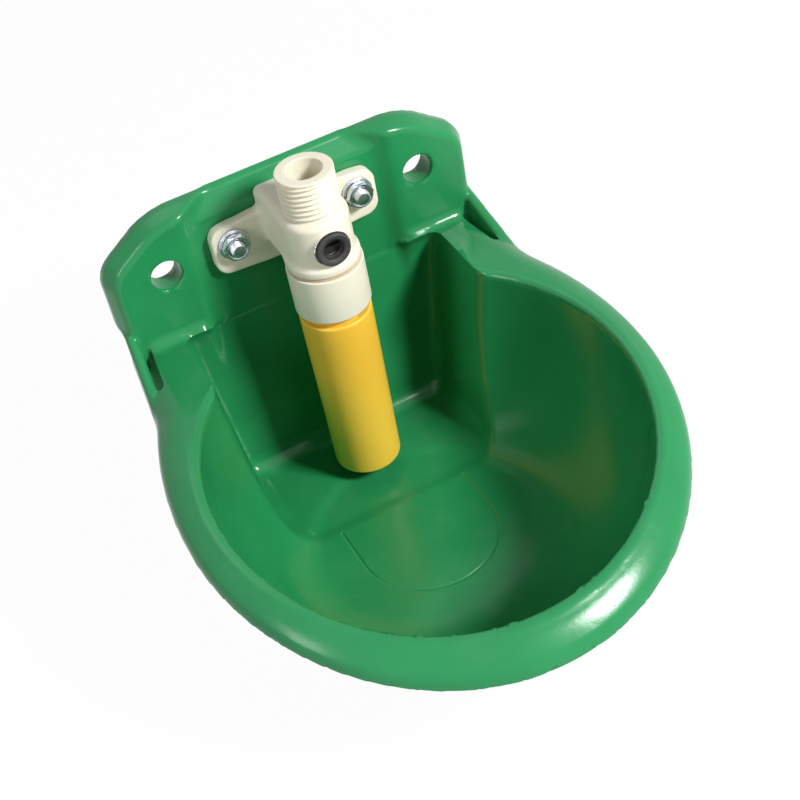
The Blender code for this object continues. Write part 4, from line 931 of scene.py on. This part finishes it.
@dataclass
class ValveBody:
    """The cream valve body: a block with ears, a flange, a spout, a side port and an inlet."""

    pitch: float = 0.62
    axis_front: float = 33.0
    block_half: float = 12.3
    block_back: float = 7.1
    block_low: float = 109.8
    block_top: float = 130.0
    block_round: float = 3.0
    flange_radius: float = 13.5
    flange_low: float = 108.3
    flange_high: float = 111.3
    flange_cone_top: float = 114.3
    sleeve_radius: float = 12.1
    sleeve_low: float = 97.0
    nose_radius: float = 9.7
    nose_low: float = 90.5
    ear_back: float = 6.8
    ear_front: float = 11.3
    ear_half: float = 33.0
    ear_low: float = 100.0
    ear_high: float = 122.0
    ear_narrowing: float = 1.5
    ear_corner: float = 5.0
    stud_half_spacing: float = 25.0
    stud_height: float = 113.3
    stud_hole: float = 3.3
    port_height: float = 119.5
    boss_radius: float = 7.1
    boss_front: float = 45.7
    socket_radius: float = 6.6
    socket_depth: float = 2.0
    port_bore: float = 4.0
    port_bore_back: float = 34.3
    neck_radius: float = 9.1
    neck_top: float = 132.6
    spigot_radius: float = 10.4775
    spigot_low: float = 130.6
    spigot_top: float = 146.0
    spigot_lip: float = 1.3
    inlet_radius: float = 6.75
    bore_round: float = 0.4
    thread_depth: float = 1.25
    thread_pitch: float = 2.0
    thread_low: float = 130.9
    thread_high: float = 145.3
    water_way: tuple[tuple[float, float, float], ...] = (
        (7.8, 80.0, 96.0), (6.0, 95.0, 109.0), (3.5, 108.0, 112.0), (5.4, 111.0, 127.0),
        (6.75, 126.0, 150.0))

    def solid(self, x: Array, front: Array, height: Array) -> Array:
        """Distance from the body below its thread.

        Formula: a block with a round front, a turned flange, sleeve and nose about the upright
        axis, two flat ears and a turned boss about the port's axis, joined with fillets, less the
        water way, the port and the stud holes.

        Args:
            x: Places across.
            front: Places out from the wall.
            height: Heights.

        Returns:
            Distances, negative in the plastic.
        """
        ahead = front - self.axis_front
        radius = np.hypot(x, ahead)
        side = np.abs(x)
        plan = np.hypot(x, np.maximum(ahead, 0)) - self.block_half
        block = round_and(plan, height - self.block_top, self.block_round)
        block = round_and(np.maximum(block, self.block_low - height), self.block_back - front, 0.6)
        middle = (self.flange_low + self.flange_high) / 2
        faces = np.abs(height - middle) - (self.flange_high - middle)
        flange = round_and(radius - self.flange_radius, faces, 0.9)
        sleeve = round_and(radius - self.sleeve_radius, self.sleeve_low - height, 0.5)
        sleeve = np.maximum(sleeve, height - middle)
        nose = round_and(radius - self.nose_radius, self.nose_low - height, 0.6)
        nose = np.maximum(nose, height - middle)
        share = np.clip((side - self.block_half) / (self.ear_half - self.block_half), 0, 1)
        high = self.ear_high - self.ear_narrowing * share
        low = self.ear_low + self.ear_narrowing * share
        ear = round_and(side - self.ear_half, height - high, self.ear_corner)
        ear = round_and(ear, low - height, self.ear_corner)
        ear = round_and(round_and(ear, front - self.ear_front, 1.0), self.ear_back - front, 0.4)
        port = np.hypot(x, height - self.port_height)
        boss = round_and(port - self.boss_radius, front - self.boss_front, 0.5)
        boss = np.maximum(boss, self.axis_front - front)
        neck = np.maximum(radius - self.neck_radius, height - self.neck_top)
        neck = np.maximum(neck, middle - height)
        body = round_or(block, flange, 2.2)
        body = round_or(body, np.minimum(sleeve, nose), 0.5)
        body = round_or(body, ear, 2.0)
        body = round_or(body, boss, 1.0)
        body = round_or(body, neck, 1.0)
        for way_radius, way_low, way_high in self.water_way:
            ends = np.abs(height - (way_low + way_high) / 2) - (way_high - way_low) / 2
            body = round_and(body, -np.maximum(radius - way_radius, ends), self.bore_round)
        socket = np.maximum(port - self.socket_radius, self.boss_front - self.socket_depth - front)
        bore = np.maximum(port - self.port_bore, self.port_bore_back - front)
        body = round_and(body, -np.minimum(socket, bore), self.bore_round)
        stud = np.hypot(side - self.stud_half_spacing, height - self.stud_height) - self.stud_hole
        stud = np.where(front < self.axis_front / 2, stud, FAR)
        return round_and(body, -stud, 0.5)

    def spigot(self) -> Skin:
        """The threaded inlet: a sleeve with a rounded lip and a coned mouth."""
        outer = rounded_profile([(self.inlet_radius, self.spigot_low, 0),
                                 (self.spigot_radius - 0.9, self.spigot_low, 0),
                                 (self.spigot_radius, self.spigot_low + 0.9, 0.3)], closed=False)
        rows = np.arange(self.thread_low + 0.8, self.spigot_top - self.spigot_lip - 0.1,
                         self.thread_pitch / 12)
        thread = np.stack([np.full(len(rows), self.spigot_radius), rows], 1)
        lip = rounded_profile([(self.spigot_radius, self.spigot_top - self.spigot_lip - 0.05, 0),
                               (self.spigot_radius, self.spigot_top, self.spigot_lip),
                               (self.inlet_radius - 0.15, self.spigot_top, 0.45),
                               (self.inlet_radius, self.spigot_low + 0.4, 0)], 7, closed=False)
        profile = np.concatenate([outer, thread, lip])
        span = self.thread_low, self.thread_high
        skin = threaded(profile, self.thread_depth, self.thread_pitch, span, 1.3,
                        self.spigot_radius - 0.5, 120)
        return skin.shifted(front=self.axis_front)

    def build(self) -> bpy.types.Object:
        """The body's piece, which replaces the CAD body."""
        room = 1.5
        low = (-self.ear_half - room, self.ear_back - room, self.nose_low - room)
        high = (self.ear_half + room, self.boss_front + room, self.neck_top + room)
        body = Skin.of(*level_surface(self.solid, low, high, self.pitch))
        return (body + self.spigot()).piece("valve_casting")


@dataclass
class Collar:
    """The cream collar nut that holds the push tube's ball joint, and its gasket."""

    axis_front: float = 33.0
    radius: float = 14.2
    low: float = 88.5
    high: float = 107.1
    bottom_round: float = 1.4
    mouth: float = 12.6
    seat_radius: float = 13.3
    seat_height: float = 93.5
    bore: float = 12.4
    bore_low: float = 97.0
    gasket_low: float = 107.4
    gasket_high: float = 108.0

    def nut(self) -> bpy.types.Object:
        """The collar: turned, with a ball seat inside."""
        seat = np.linspace(self.bore_low, self.low + 1.2, 9)
        ball = np.sqrt(self.seat_radius**2 - (seat - self.seat_height) ** 2)
        outside = rounded_profile([(self.mouth, self.low, 0.5), (self.radius, self.low, self.bottom_round),
                                   (self.radius, self.high, 0.5), (self.bore, self.high, 0.3)],
                                  7, closed=False)
        profile = np.concatenate([outside, np.stack([ball, seat], 1)])
        return turned(profile, 120).shifted(front=self.axis_front).piece("collar_ring")

    def gasket(self) -> bpy.types.Object:
        """The fibre ring between the collar and the flange."""
        low, high = self.gasket_low, self.gasket_high
        profile = rounded_profile([(self.bore, low, 0.1), (self.seat_radius, low, 0.2),
                                   (self.seat_radius, high, 0.2), (self.bore, high, 0.1)], 3)
        return turned(profile, 96).shifted(front=self.axis_front).piece("collar_fibre_ring")


@dataclass
class PushTube:
    """The yellow tube that the animal pushes: a thin wall, two ball-ended fingers and a cross inside."""

    axis_front: float = 33.0
    top_radius: float = 13.6
    foot_radius: float = 13.0
    foot: float = 11.0
    shoulder: float = 85.5
    shoulder_depth: float = 1.4
    wall: float = 1.7
    finger_radius: float = 11.9
    finger_wall: float = 1.3
    finger_top: float = 95.0
    bead_radius: float = 13.0
    bead_height: float = 93.5
    bead_low: float = 92.0
    gap_start: float = math.radians(19.5)
    gap_sweep: float = math.radians(50.0)
    web_low: float = 82.0
    web_high: float = 84.8
    web_thickness: float = 1.6
    hub_radius: float = 3.0
    hub_bore: float = 1.5

    def sleeve(self) -> Skin:
        """The tube's wall with its rounded rims and the shoulder at the top."""
        inner_top = self.top_radius - self.wall
        inner_foot = self.foot_radius - self.wall
        under = self.shoulder - self.shoulder_depth
        finger_inner = self.finger_radius - self.finger_wall
        corners = [(inner_foot, self.foot, 0.5), (self.foot_radius, self.foot, 0.8),
                   (self.top_radius - 0.06, self.shoulder - 8, 0), (self.top_radius, self.shoulder, 0.9),
                   (finger_inner, self.shoulder, 0.3), (finger_inner, under, 0.3), (inner_top, under, 0.4)]
        return turned(rounded_profile(corners, 6), 128)

    def finger(self, start: float) -> Skin:
        """One finger: a part turn of a thin wall with a ball-shaped bead at its end.

        Args:
            start: Its first angle, from the front towards the right.

        Returns:
            The skin.
        """
        inner = self.finger_radius - self.finger_wall
        heights = np.linspace(self.bead_low, self.finger_top, 7)
        bead = np.sqrt(self.bead_radius**2 - (heights - self.bead_height) ** 2)
        ball = [(float(across), float(height), 0.0) for across, height in zip(bead, heights)]
        corners = [(inner, self.shoulder - 0.4, 0), (self.finger_radius, self.shoulder - 0.4, 0),
                   (self.finger_radius, self.bead_low - 0.9, 0.4), *ball, (inner, self.finger_top, 0.3)]
        sweep = TURN / 2 - self.gap_sweep
        return turned(rounded_profile(corners, 4), 48, start, sweep)

    def cross(self) -> Skin:
        """The four arms and the hub that carry the stem."""
        reach = self.top_radius - self.wall + 0.3
        length = reach - self.hub_radius + 0.5
        middle = self.hub_radius - 0.5 + length / 2
        skin = None
        for quarter in range(4):
            arm = rounded_bar(length, self.web_thickness, self.web_low, self.web_high, 0.3).shifted(x=middle)
            angle = quarter * TURN / 4
            x, front, height = arm.points.T
            points = np.stack([x * math.cos(angle) - front * math.sin(angle),
                               x * math.sin(angle) + front * math.cos(angle), height], 1)
            arm = Skin(points, arm.faces)
            skin = arm if skin is None else skin + arm
        corners = [(self.hub_bore, self.web_low, 0.2), (self.hub_radius, self.web_low, 0.3),
                   (self.hub_radius, self.shoulder, 0.4), (self.hub_bore, self.shoulder, 0.2)]
        return skin + turned(rounded_profile(corners, 3), 48)

    def build(self) -> bpy.types.Object:
        """The tube's piece."""
        first = self.gap_start + self.gap_sweep
        skin = self.sleeve() + self.finger(first) + self.finger(first + TURN / 2) + self.cross()
        return skin.shifted(front=self.axis_front).piece("yellow_tube")


@dataclass
class FlowPort:
    """The rubber grommet in the port, through which the flow screw is reached."""

    height: float = 119.5
    back: float = 44.0
    front: float = 47.3
    bore: float = 4.0
    radius: float = 6.3
    sleeve_back: float = 43.1
    sleeve_bore: float = 3.78
    sleeve_radius: float = 3.95

    def grommet(self) -> bpy.types.Object:
        """The grommet: a turned ring with a dished face and a rolled rim."""
        corners = [(self.sleeve_bore, self.sleeve_back, 0.05), (self.sleeve_radius, self.sleeve_back, 0.05),
                   (self.sleeve_radius, self.back, 0.1), (self.radius, self.back, 0.3),
                   (self.radius, self.front, 0.7), (self.bore + 1.1, self.front - 0.15, 0.4),
                   (self.bore, self.front - 0.55, 0.5), (self.bore, self.back + 0.6, 0.2),
                   (self.sleeve_bore, self.back + 0.3, 0.1)]
        skin = turned(rounded_profile(corners, 5), 96)
        return skin.facing_front().shifted(height=self.height).piece("port_ring")


@dataclass
class Fixings:
    """The two studs, washers and nuts that hold the valve to the plate."""

    half_spacing: float = 25.0
    height: float = 113.3
    shank: float = 3.0
    head_radius: float = 5.5
    head_back: float = 1.0
    head_front: float = 3.2
    end: float = 17.6
    pitch: float = 1.0
    thread_depth: float = 0.55
    washer_back: float = 11.6
    washer_front: float = 12.5
    washer_radius: float = 6.0
    washer_bore: float = 3.2
    nut_back: float = 12.8
    nut_front: float = 15.6
    nut_flats: float = 9.7
    nut_chamfer: float = 1.0

    def stud(self) -> Skin:
        """A stud with a flat head behind the plate and a chamfered, threaded end."""
        start = rounded_profile([(0.0, self.head_back, 0), (self.head_radius, self.head_back, 0.5),
                                 (self.head_radius, self.head_front, 0.5), (self.shank, self.head_front, 0.3),
                                 (self.shank, self.head_front + 4, 0)], 3, closed=False)
        rows = np.arange(self.head_front + 4.1, self.end - 0.75, self.pitch / 10)
        thread = np.stack([np.full(len(rows), self.shank), rows], 1)
        end = rounded_profile([(self.shank, self.end - 0.7, 0), (self.shank - 0.6, self.end, 0.25),
                               (0.0, self.end, 0)], 4, closed=False)
        profile = np.concatenate([start, thread, end])
        span = self.head_front + 4, self.end - 0.2
        return threaded(profile, self.thread_depth, self.pitch, span, 0.6, 2.0, 64)

    def washer(self) -> Skin:
        """A plain washer with a rolled outer edge."""
        corners = [(self.washer_bore, self.washer_back, 0.1), (self.washer_radius, self.washer_back, 0.2),
                   (self.washer_radius, self.washer_front, 0.35), (self.washer_bore, self.washer_front, 0.15)]
        return turned(rounded_profile(corners, 4), 72)

    def nut(self) -> Skin:
        """A hexagon nut."""
        return hexagon_nut(self.nut_flats, self.shank + 0.05, self.nut_back, self.nut_front, self.nut_chamfer)

    def build(self) -> dict[str, bpy.types.Object]:
        """All six pieces, by the name of the CAD node that each replaces."""
        makers = {"bolt": self.stud, "washer": self.washer, "nut": self.nut}
        pieces = {}
        for side, name in ((-1, "left"), (1, "right")):
            for kind, maker in makers.items():
                skin = maker().facing_front().shifted(x=side * self.half_spacing, height=self.height)
                pieces[f"mounting_{kind}_{name}"] = skin.piece(f"zinc_{kind}_{name}")
        return pieces


# Shader maths


class Graph:
    """The node tree of a material or a world, with a method that makes any node."""

    def __init__(self, owner: bpy.types.Material | bpy.types.World) -> None:
        """Empties the owner's tree.

        Args:
            owner: The material or world.
        """
        owner.use_nodes = True
        self.owner = owner
        self.tree = owner.node_tree
        self.tree.nodes.clear()

    def node(self, kind: str, settings: dict | None = None, values: dict | None = None) -> bpy.types.Node:
        """Makes a node.

        Args:
            kind: Its type, without the ShaderNode prefix.
            settings: Its own settings, which are set first.
            values: What its sockets hold or are linked to, by name or number.

        Returns:
            The node.
        """
        node = self.tree.nodes.new("ShaderNode" + kind)
        for key, value in (settings or {}).items():
            setattr(node, key, value)
        for key, value in (values or {}).items():
            socket = node.inputs[key]
            if isinstance(value, Value):
                self.tree.links.new(value.socket, socket)
            elif isinstance(value, bpy.types.NodeSocket):
                self.tree.links.new(value, socket)
            elif isinstance(value, tuple) and len(value) == 3 and socket.type == "RGBA":
                socket.default_value = (*value, 1.0)
            else:
                socket.default_value = value
        return node

    def value(self, node: bpy.types.Node, output: int | str = 0) -> "Value":
        """One output of a node, for sums."""
        return Value(self, node.outputs[output])

    def place(self) -> "Value":
        """Object coordinates, in metres."""
        return self.value(self.node("TexCoord"), "Object")

    def noise(self, scale: float, detail: float = 3.0, roughness: float = 0.55,
              place: "Value | None" = None, distortion: float = 0.0) -> "Value":
        """Cloudy noise between 0 and 1 over Object coordinates."""
        values = {"Vector": place or self.place(), "Scale": scale, "Detail": detail, "Roughness": roughness,
                  "Distortion": distortion}
        return self.value(self.node("TexNoise", {"noise_dimensions": "3D"}, values), "Fac")

    def stretched(self, across: tuple[float, float, float]) -> "Value":
        """Object coordinates multiplied along each axis, for patterns that run one way."""
        node = self.node("VectorMath", {"operation": "MULTIPLY"}, {0: self.place(), 1: across})
        return self.value(node)

    def part(self, vector: "Value", axis: str) -> "Value":
        """One part of a vector, by its letter."""
        return self.value(self.node("SeparateXYZ", values={"Vector": vector}), axis)

    def mix(self, share: "Value", first: "Value | Colour", second: Colour) -> "Value":
        """A mix of two colours."""
        settings = {"data_type": "RGBA", "clamp_factor": True}
        return self.value(self.node("Mix", settings, {0: share, 6: first, 7: second}), 2)

    def seen(self) -> "Value":
        """1 for what is seen straight, mirrored or through something, and 0 for what lights."""
        path = self.node("LightPath")
        straight, mirrored, through = (
            self.value(path, f"Is {kind} Ray") for kind in ("Camera", "Glossy", "Transmission"))
        return (straight + mirrored + through).math("MINIMUM", 1.0)

    def bump(self, height: "Value", strength: float, distance: float) -> "Value":
        """A bump for the shader's Normal."""
        node = self.node("Bump", values={"Height": height, "Strength": strength, "Distance": distance})
        return self.value(node)

    def finish(self, shader: bpy.types.Node) -> bpy.types.Material | bpy.types.World:
        """Links the last shader to an output and gives the material or world."""
        kind = "OutputWorld" if isinstance(self.owner, bpy.types.World) else "OutputMaterial"
        self.node(kind, values={"Surface": shader.outputs[0]})
        return self.owner


class Value:
    """A number or vector socket that sums can be written with."""

    def __init__(self, graph: Graph, socket: bpy.types.NodeSocket) -> None:
        """Wraps a socket.

        Args:
            graph: The graph it is in.
            socket: An output socket.
        """
        self.graph = graph
        self.socket = socket

    def math(self, operation: str, *others: "Value | float") -> "Value":
        """A Math node with this value first."""
        values = {0: self, **{i + 1: other for i, other in enumerate(others)}}
        return self.graph.value(self.graph.node("Math", {"operation": operation}, values))

    def __add__(self, other: "Value | float") -> "Value":
        """Sum."""
        return self.math("ADD", other)

    def __radd__(self, other: float) -> "Value":
        """Sum with the number first."""
        return self.math("ADD", other)

    def __sub__(self, other: "Value | float") -> "Value":
        """Difference."""
        return self.math("SUBTRACT", other)

    def __mul__(self, other: "Value | float") -> "Value":
        """Product."""
        return self.math("MULTIPLY", other)

    def ramp(self, low: float, high: float, first: float = 0.0, second: float = 1.0) -> "Value":
        """This value, taken from one range into another and held there, with soft ends."""
        values = {"Value": self, "From Min": low, "From Max": high, "To Min": first, "To Max": second}
        node = self.graph.node("MapRange", {"interpolation_type": "SMOOTHSTEP", "clamp": True}, values)
        return self.graph.value(node)


@dataclass(frozen=True)
class MouldedPlastic:
    """Injection-moulded plastic: a faint cloudy tone, mould texture, fine scuffs and settled dust."""

    name: str
    colour: Colour
    deep: Colour
    roughness: float
    scuff: float
    dust: float
    dust_colour: Colour
    grain: float = 0.03
    subsurface: float = 0.0
    shine: float = 0.5

    def material(self) -> bpy.types.Material:
        """The material."""
        graph = Graph(bpy.data.materials.new(self.name))
        cloud = graph.noise(22.0, 4.0)
        flow = graph.noise(9.0, 2.0, place=graph.stretched((1.0, 1.0, 3.0)), distortion=0.6)
        tone = (cloud * 0.6 + flow * 0.4).ramp(0.32, 0.68)
        colour = graph.mix(tone, self.deep, self.colour)
        specks = graph.noise(1300.0, 2.0).ramp(0.70, 0.82)
        upward = graph.part(graph.value(graph.node("NewGeometry"), "Normal"), "Z")
        settled = upward.ramp(0.55, 1.0) * graph.noise(55.0, 5.0, 0.7).ramp(0.48, 0.75)
        colour = graph.mix((settled * self.dust + specks * self.dust * 0.6), colour, self.dust_colour)
        lines = graph.noise(160.0, 2.0, 0.5, graph.stretched((1.0, 7.0, 5.0)), 0.4)
        more = graph.noise(210.0, 2.0, 0.5, graph.stretched((6.0, 1.0, 2.0)), 0.4)
        scuffs = lines.ramp(0.62, 0.68) * graph.noise(30.0, 3.0).ramp(0.45, 0.7)
        scuffs = scuffs + more.ramp(0.64, 0.70) * graph.noise(24.0, 3.0).ramp(0.5, 0.75)
        rough = self.roughness + (cloud - 0.5) * 0.10 + scuffs * self.scuff + settled * self.dust * 0.8
        height = graph.noise(900.0, 2.0) * 0.7 + graph.noise(240.0, 3.0) * 1.6 - scuffs * self.scuff * 1.5
        shader = graph.node("BsdfPrincipled", values={
            "Base Color": colour, "Roughness": rough, "IOR": 1.49, "Specular IOR Level": self.shine,
            "Subsurface Weight": self.subsurface, "Subsurface Radius": (0.008, 0.003, 0.0008),
            "Subsurface Scale": 0.9, "Normal": graph.bump(height, self.grain, 0.0006)})
        return graph.finish(shader)


@dataclass(frozen=True)
class PlatedMetal:
    """Turned or plated metal: a cloudy sheen, fine turning marks and dull spots."""

    name: str
    colour: Colour
    dull: Colour
    roughness: float
    lines: float = 0.05

    def material(self) -> bpy.types.Material:
        """The material."""
        graph = Graph(bpy.data.materials.new(self.name))
        cloud = graph.noise(260.0, 4.0).ramp(0.3, 0.7)
        spots = graph.noise(900.0, 3.0, 0.7).ramp(0.58, 0.72)
        colour = graph.mix(cloud * 0.45 + spots * 0.4, self.colour, self.dull)
        marks = graph.noise(700.0, 2.0, 0.6, graph.stretched((1.0, 6.0, 1.0)))
        rough = self.roughness + cloud * 0.10 + spots * 0.16 + marks * 0.05
        height = marks + graph.noise(2200.0, 2.0) * 0.5
        shader = graph.node("BsdfPrincipled", values={
            "Base Color": colour, "Metallic": 1.0, "Roughness": rough,
            "Normal": graph.bump(height, self.lines, 0.0004)})
        return graph.finish(shader)


@dataclass(frozen=True)
class SoftRubber:
    """Black rubber or fibre: matt, with a fine skin and pale bloom."""

    name: str
    colour: Colour
    bloom: Colour
    roughness: float
    bloom_share: float = 0.5

    def material(self) -> bpy.types.Material:
        """The material."""
        graph = Graph(bpy.data.materials.new(self.name))
        cloud = graph.noise(300.0, 5.0, 0.65).ramp(0.35, 0.75)
        fine = graph.noise(2600.0, 2.0)
        colour = graph.mix(cloud * self.bloom_share, self.colour, self.bloom)
        rough = self.roughness + cloud * 0.12
        shader = graph.node("BsdfPrincipled", values={
            "Base Color": colour, "Roughness": rough, "IOR": 1.5,
            "Normal": graph.bump(fine + cloud * 0.6, 0.12, 0.0003)})
        return graph.finish(shader)


@dataclass
class Studio:
    """The floor, the world, the lamps and the camera."""

    camera_place: tuple[float, float, float] = (-0.1313, -0.35165, 0.4239)
    camera_right: tuple[float, float, float] = (0.8767, -0.4576, -0.1494)
    camera_down: tuple[float, float, float] = (-0.4106, -0.5484, -0.7286)
    camera_forward: tuple[float, float, float] = (0.2515, 0.6999, -0.6685)
    lens: float = 67.5
    sensor: float = 36.0
    target: tuple[float, float, float] = (0.0, 0.0, 0.06)
    ambient: float = 0.15
    floor_half: float = 3.0
    floor_drop: float = 0.0002
    floor_glow: float = 0.97

    def camera(self) -> None:
        """The camera at the photograph's place."""
        data = bpy.data.cameras.new("camera")
        data.lens, data.sensor_width = self.lens, self.sensor
        data.clip_start, data.clip_end = 0.01, 20.0
        camera = bpy.data.objects.new("camera", data)
        bpy.context.scene.collection.objects.link(camera)
        axes = Vector(self.camera_right), -Vector(self.camera_down), -Vector(self.camera_forward)
        turn = Matrix(axes).transposed().to_4x4()
        camera.matrix_world = Matrix.Translation(self.camera_place) @ turn
        bpy.context.scene.camera = camera

    def lamp(self, name: str, towards: tuple[float, float, float], distance: float, size: tuple[float, float],
             power: float) -> None:
        """A soft rectangular lamp that faces the object.

        Args:
            name: Name of the lamp.
            towards: Direction from the object to the lamp.
            distance: How far away it is.
            size: Its width and height.
            power: Its power in watts.
        """
        data = bpy.data.lights.new(name, "AREA")
        data.shape, data.energy = "RECTANGLE", power
        data.size, data.size_y = size
        lamp = bpy.data.objects.new(name, data)
        bpy.context.scene.collection.objects.link(lamp)
        direction = Vector(towards).normalized()
        lamp.location = Vector(self.target) + direction * distance
        lamp.rotation_mode = "QUATERNION"
        lamp.rotation_quaternion = direction.to_track_quat("Z", "Y")

    def world(self) -> None:
        """A plain world: white where it is seen, dimmer where it lights."""
        graph = Graph(bpy.data.worlds.new("plain_white"))
        strength = self.ambient + graph.seen() * (1 - self.ambient)
        sky = graph.node("Background", values={"Color": (1.0, 1.0, 1.0), "Strength": strength})
        bpy.context.scene.world = graph.finish(sky)

    def floor(self) -> None:
        """A wide pale floor that shows white and keeps a faint shadow."""
        half, low = self.floor_half, -self.floor_drop
        corners = [(-half, -half, low), (half, -half, low), (half, half, low), (-half, half, low)]
        mesh = bpy.data.meshes.new("floor")
        mesh.from_pydata(corners, [], [(0, 1, 2, 3)])
        floor = bpy.data.objects.new("floor", mesh)
        bpy.context.scene.collection.objects.link(floor)
        graph = Graph(bpy.data.materials.new("pale_floor"))
        matt = graph.node("BsdfDiffuse", values={"Color": (0.85, 0.85, 0.85)})
        glow = graph.node("Emission", values={"Color": (1.0, 1.0, 1.0), "Strength": 1.0})
        values = {0: graph.seen() * self.floor_glow, 1: matt.outputs[0], 2: glow.outputs[0]}
        mixed = graph.node("MixShader", values=values)
        mesh.materials.append(graph.finish(mixed))

    def build(self) -> None:
        """Sets up the whole studio."""
        self.world()
        self.floor()
        self.camera()
        self.lamp("key_light", (0.47, -0.60, 0.64), 1.2, (0.24, 0.24), 19.0)
        self.lamp("top_light", (-0.15, 0.45, 1.0), 1.1, (0.6, 0.35), 0.8)
        self.lamp("left_light", (-0.9, -0.35, 0.55), 1.2, (0.25, 0.6), 3.6)
        bpy.context.scene.view_settings.view_transform = "Standard"


GLOSS_GREEN = MouldedPlastic("gloss_green_plastic", (0.0185, 0.243, 0.080), (0.0140, 0.205, 0.066), 0.19,
                             0.03, 0.05, (0.30, 0.36, 0.30), shine=0.32)
SATIN_CREAM = MouldedPlastic("satin_cream_plastic", (0.80, 0.765, 0.62), (0.75, 0.70, 0.56), 0.36, 0.10, 0.06,
                             (0.60, 0.55, 0.45), subsurface=0.08)
SATIN_YELLOW = MouldedPlastic("satin_yellow_plastic", (1.0, 0.565, 0.057), (0.97, 0.50, 0.047), 0.36,
                              0.12, 0.04, (0.75, 0.60, 0.30), subsurface=0.35)
DARK_PLASTIC = MouldedPlastic("dark_plastic", (0.014, 0.014, 0.014), (0.01, 0.01, 0.01), 0.55, 0.1, 0.03,
                              (0.08, 0.08, 0.08))
BRIGHT_ZINC = PlatedMetal("bright_zinc", (0.70, 0.735, 0.79), (0.46, 0.50, 0.56), 0.20)
TURNED_BRASS = PlatedMetal("turned_brass", (0.74, 0.53, 0.22), (0.50, 0.33, 0.13), 0.26)
SPRING_WIRE = PlatedMetal("spring_wire", (0.56, 0.57, 0.59), (0.36, 0.36, 0.38), 0.28)
BLACK_RUBBER = SoftRubber("black_rubber", (0.030, 0.028, 0.028), (0.072, 0.067, 0.064), 0.55)
TAN_FIBRE = SoftRubber("tan_fibre", (0.62, 0.47, 0.30), (0.42, 0.29, 0.17), 0.80)


FINISHES = {
    Slot.GREEN: GLOSS_GREEN, Slot.CREAM: SATIN_CREAM, Slot.YELLOW: SATIN_YELLOW, Slot.ZINC: BRIGHT_ZINC,
    Slot.SPRING: SPRING_WIRE, Slot.BRASS: TURNED_BRASS, Slot.RUBBER: BLACK_RUBBER,
    Slot.BLACK: DARK_PLASTIC, Slot.TAN: TAN_FIBRE}

KEPT_NODES = {
    "valve_stem": Slot.BRASS, "spring_retainer": Slot.BRASS, "stem_nut": Slot.BRASS,
    "seat_insert": Slot.BRASS, "seat_ring": Slot.RUBBER, "valve_spring": Slot.SPRING,
    "inlet_strainer": Slot.CREAM, "flow_screw": Slot.BLACK, "flow_screw_ring": Slot.RUBBER}


def dress(piece: bpy.types.Object, slot: Slot, materials: dict[Slot, bpy.types.Material]) -> None:
    """Gives a piece or CAD node the material of a slot.

    Args:
        piece: The object.
        slot: The slot.
        materials: The materials by slot.
    """
    piece.data.materials.clear()
    piece.data.materials.append(materials[slot])


def place(piece: bpy.types.Object, body: Body, slot: Slot, nodes: Sequence[str],
          materials: dict[Slot, bpy.types.Material]) -> None:
    """Dresses a new piece and puts it in the place of its CAD nodes.

    Args:
        piece: The new piece.
        body: The CAD body that it rides on.
        slot: The slot of its finish.
        nodes: The CAD nodes that it replaces.
        materials: The materials by slot.
    """
    dress(piece, slot, materials)
    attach(piece, body.value)
    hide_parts(*nodes)
    LOG.info("%s: %d faces, rides on %s", piece.name, len(piece.data.polygons), body.value)


def main() -> None:
    """Builds every piece, dresses the CAD nodes that stay, and sets up the studio."""
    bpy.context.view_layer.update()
    materials = {slot: finish.material() for slot, finish in FINISHES.items()}
    shell = BowlShell()
    bowl = shell.build().piece("bowl_moulding", auto=False)
    shell.engrave(bowl)
    place(bowl, Body.BASE, Slot.GREEN, ["bowl_shell"], materials)
    place(ValveBody().build(), Body.BASE, Slot.CREAM, ["valve_body"], materials)
    collar = Collar()
    place(collar.nut(), Body.BASE, Slot.CREAM, ["collar_nut"], materials)
    place(collar.gasket(), Body.BASE, Slot.TAN, ["collar_gasket"], materials)
    place(PushTube().build(), Body.TUBE, Slot.YELLOW, ["push_tube"], materials)
    place(FlowPort().grommet(), Body.BASE, Slot.RUBBER, ["port_grommet"], materials)
    for node, piece in Fixings().build().items():
        place(piece, Body.BASE, Slot.ZINC, [node], materials)
    for node, slot in KEPT_NODES.items():
        dress(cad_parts[node], slot, materials)
        LOG.info("%s keeps its CAD shape", node)
    Studio().build()


if __name__ == "__main__":
    main()
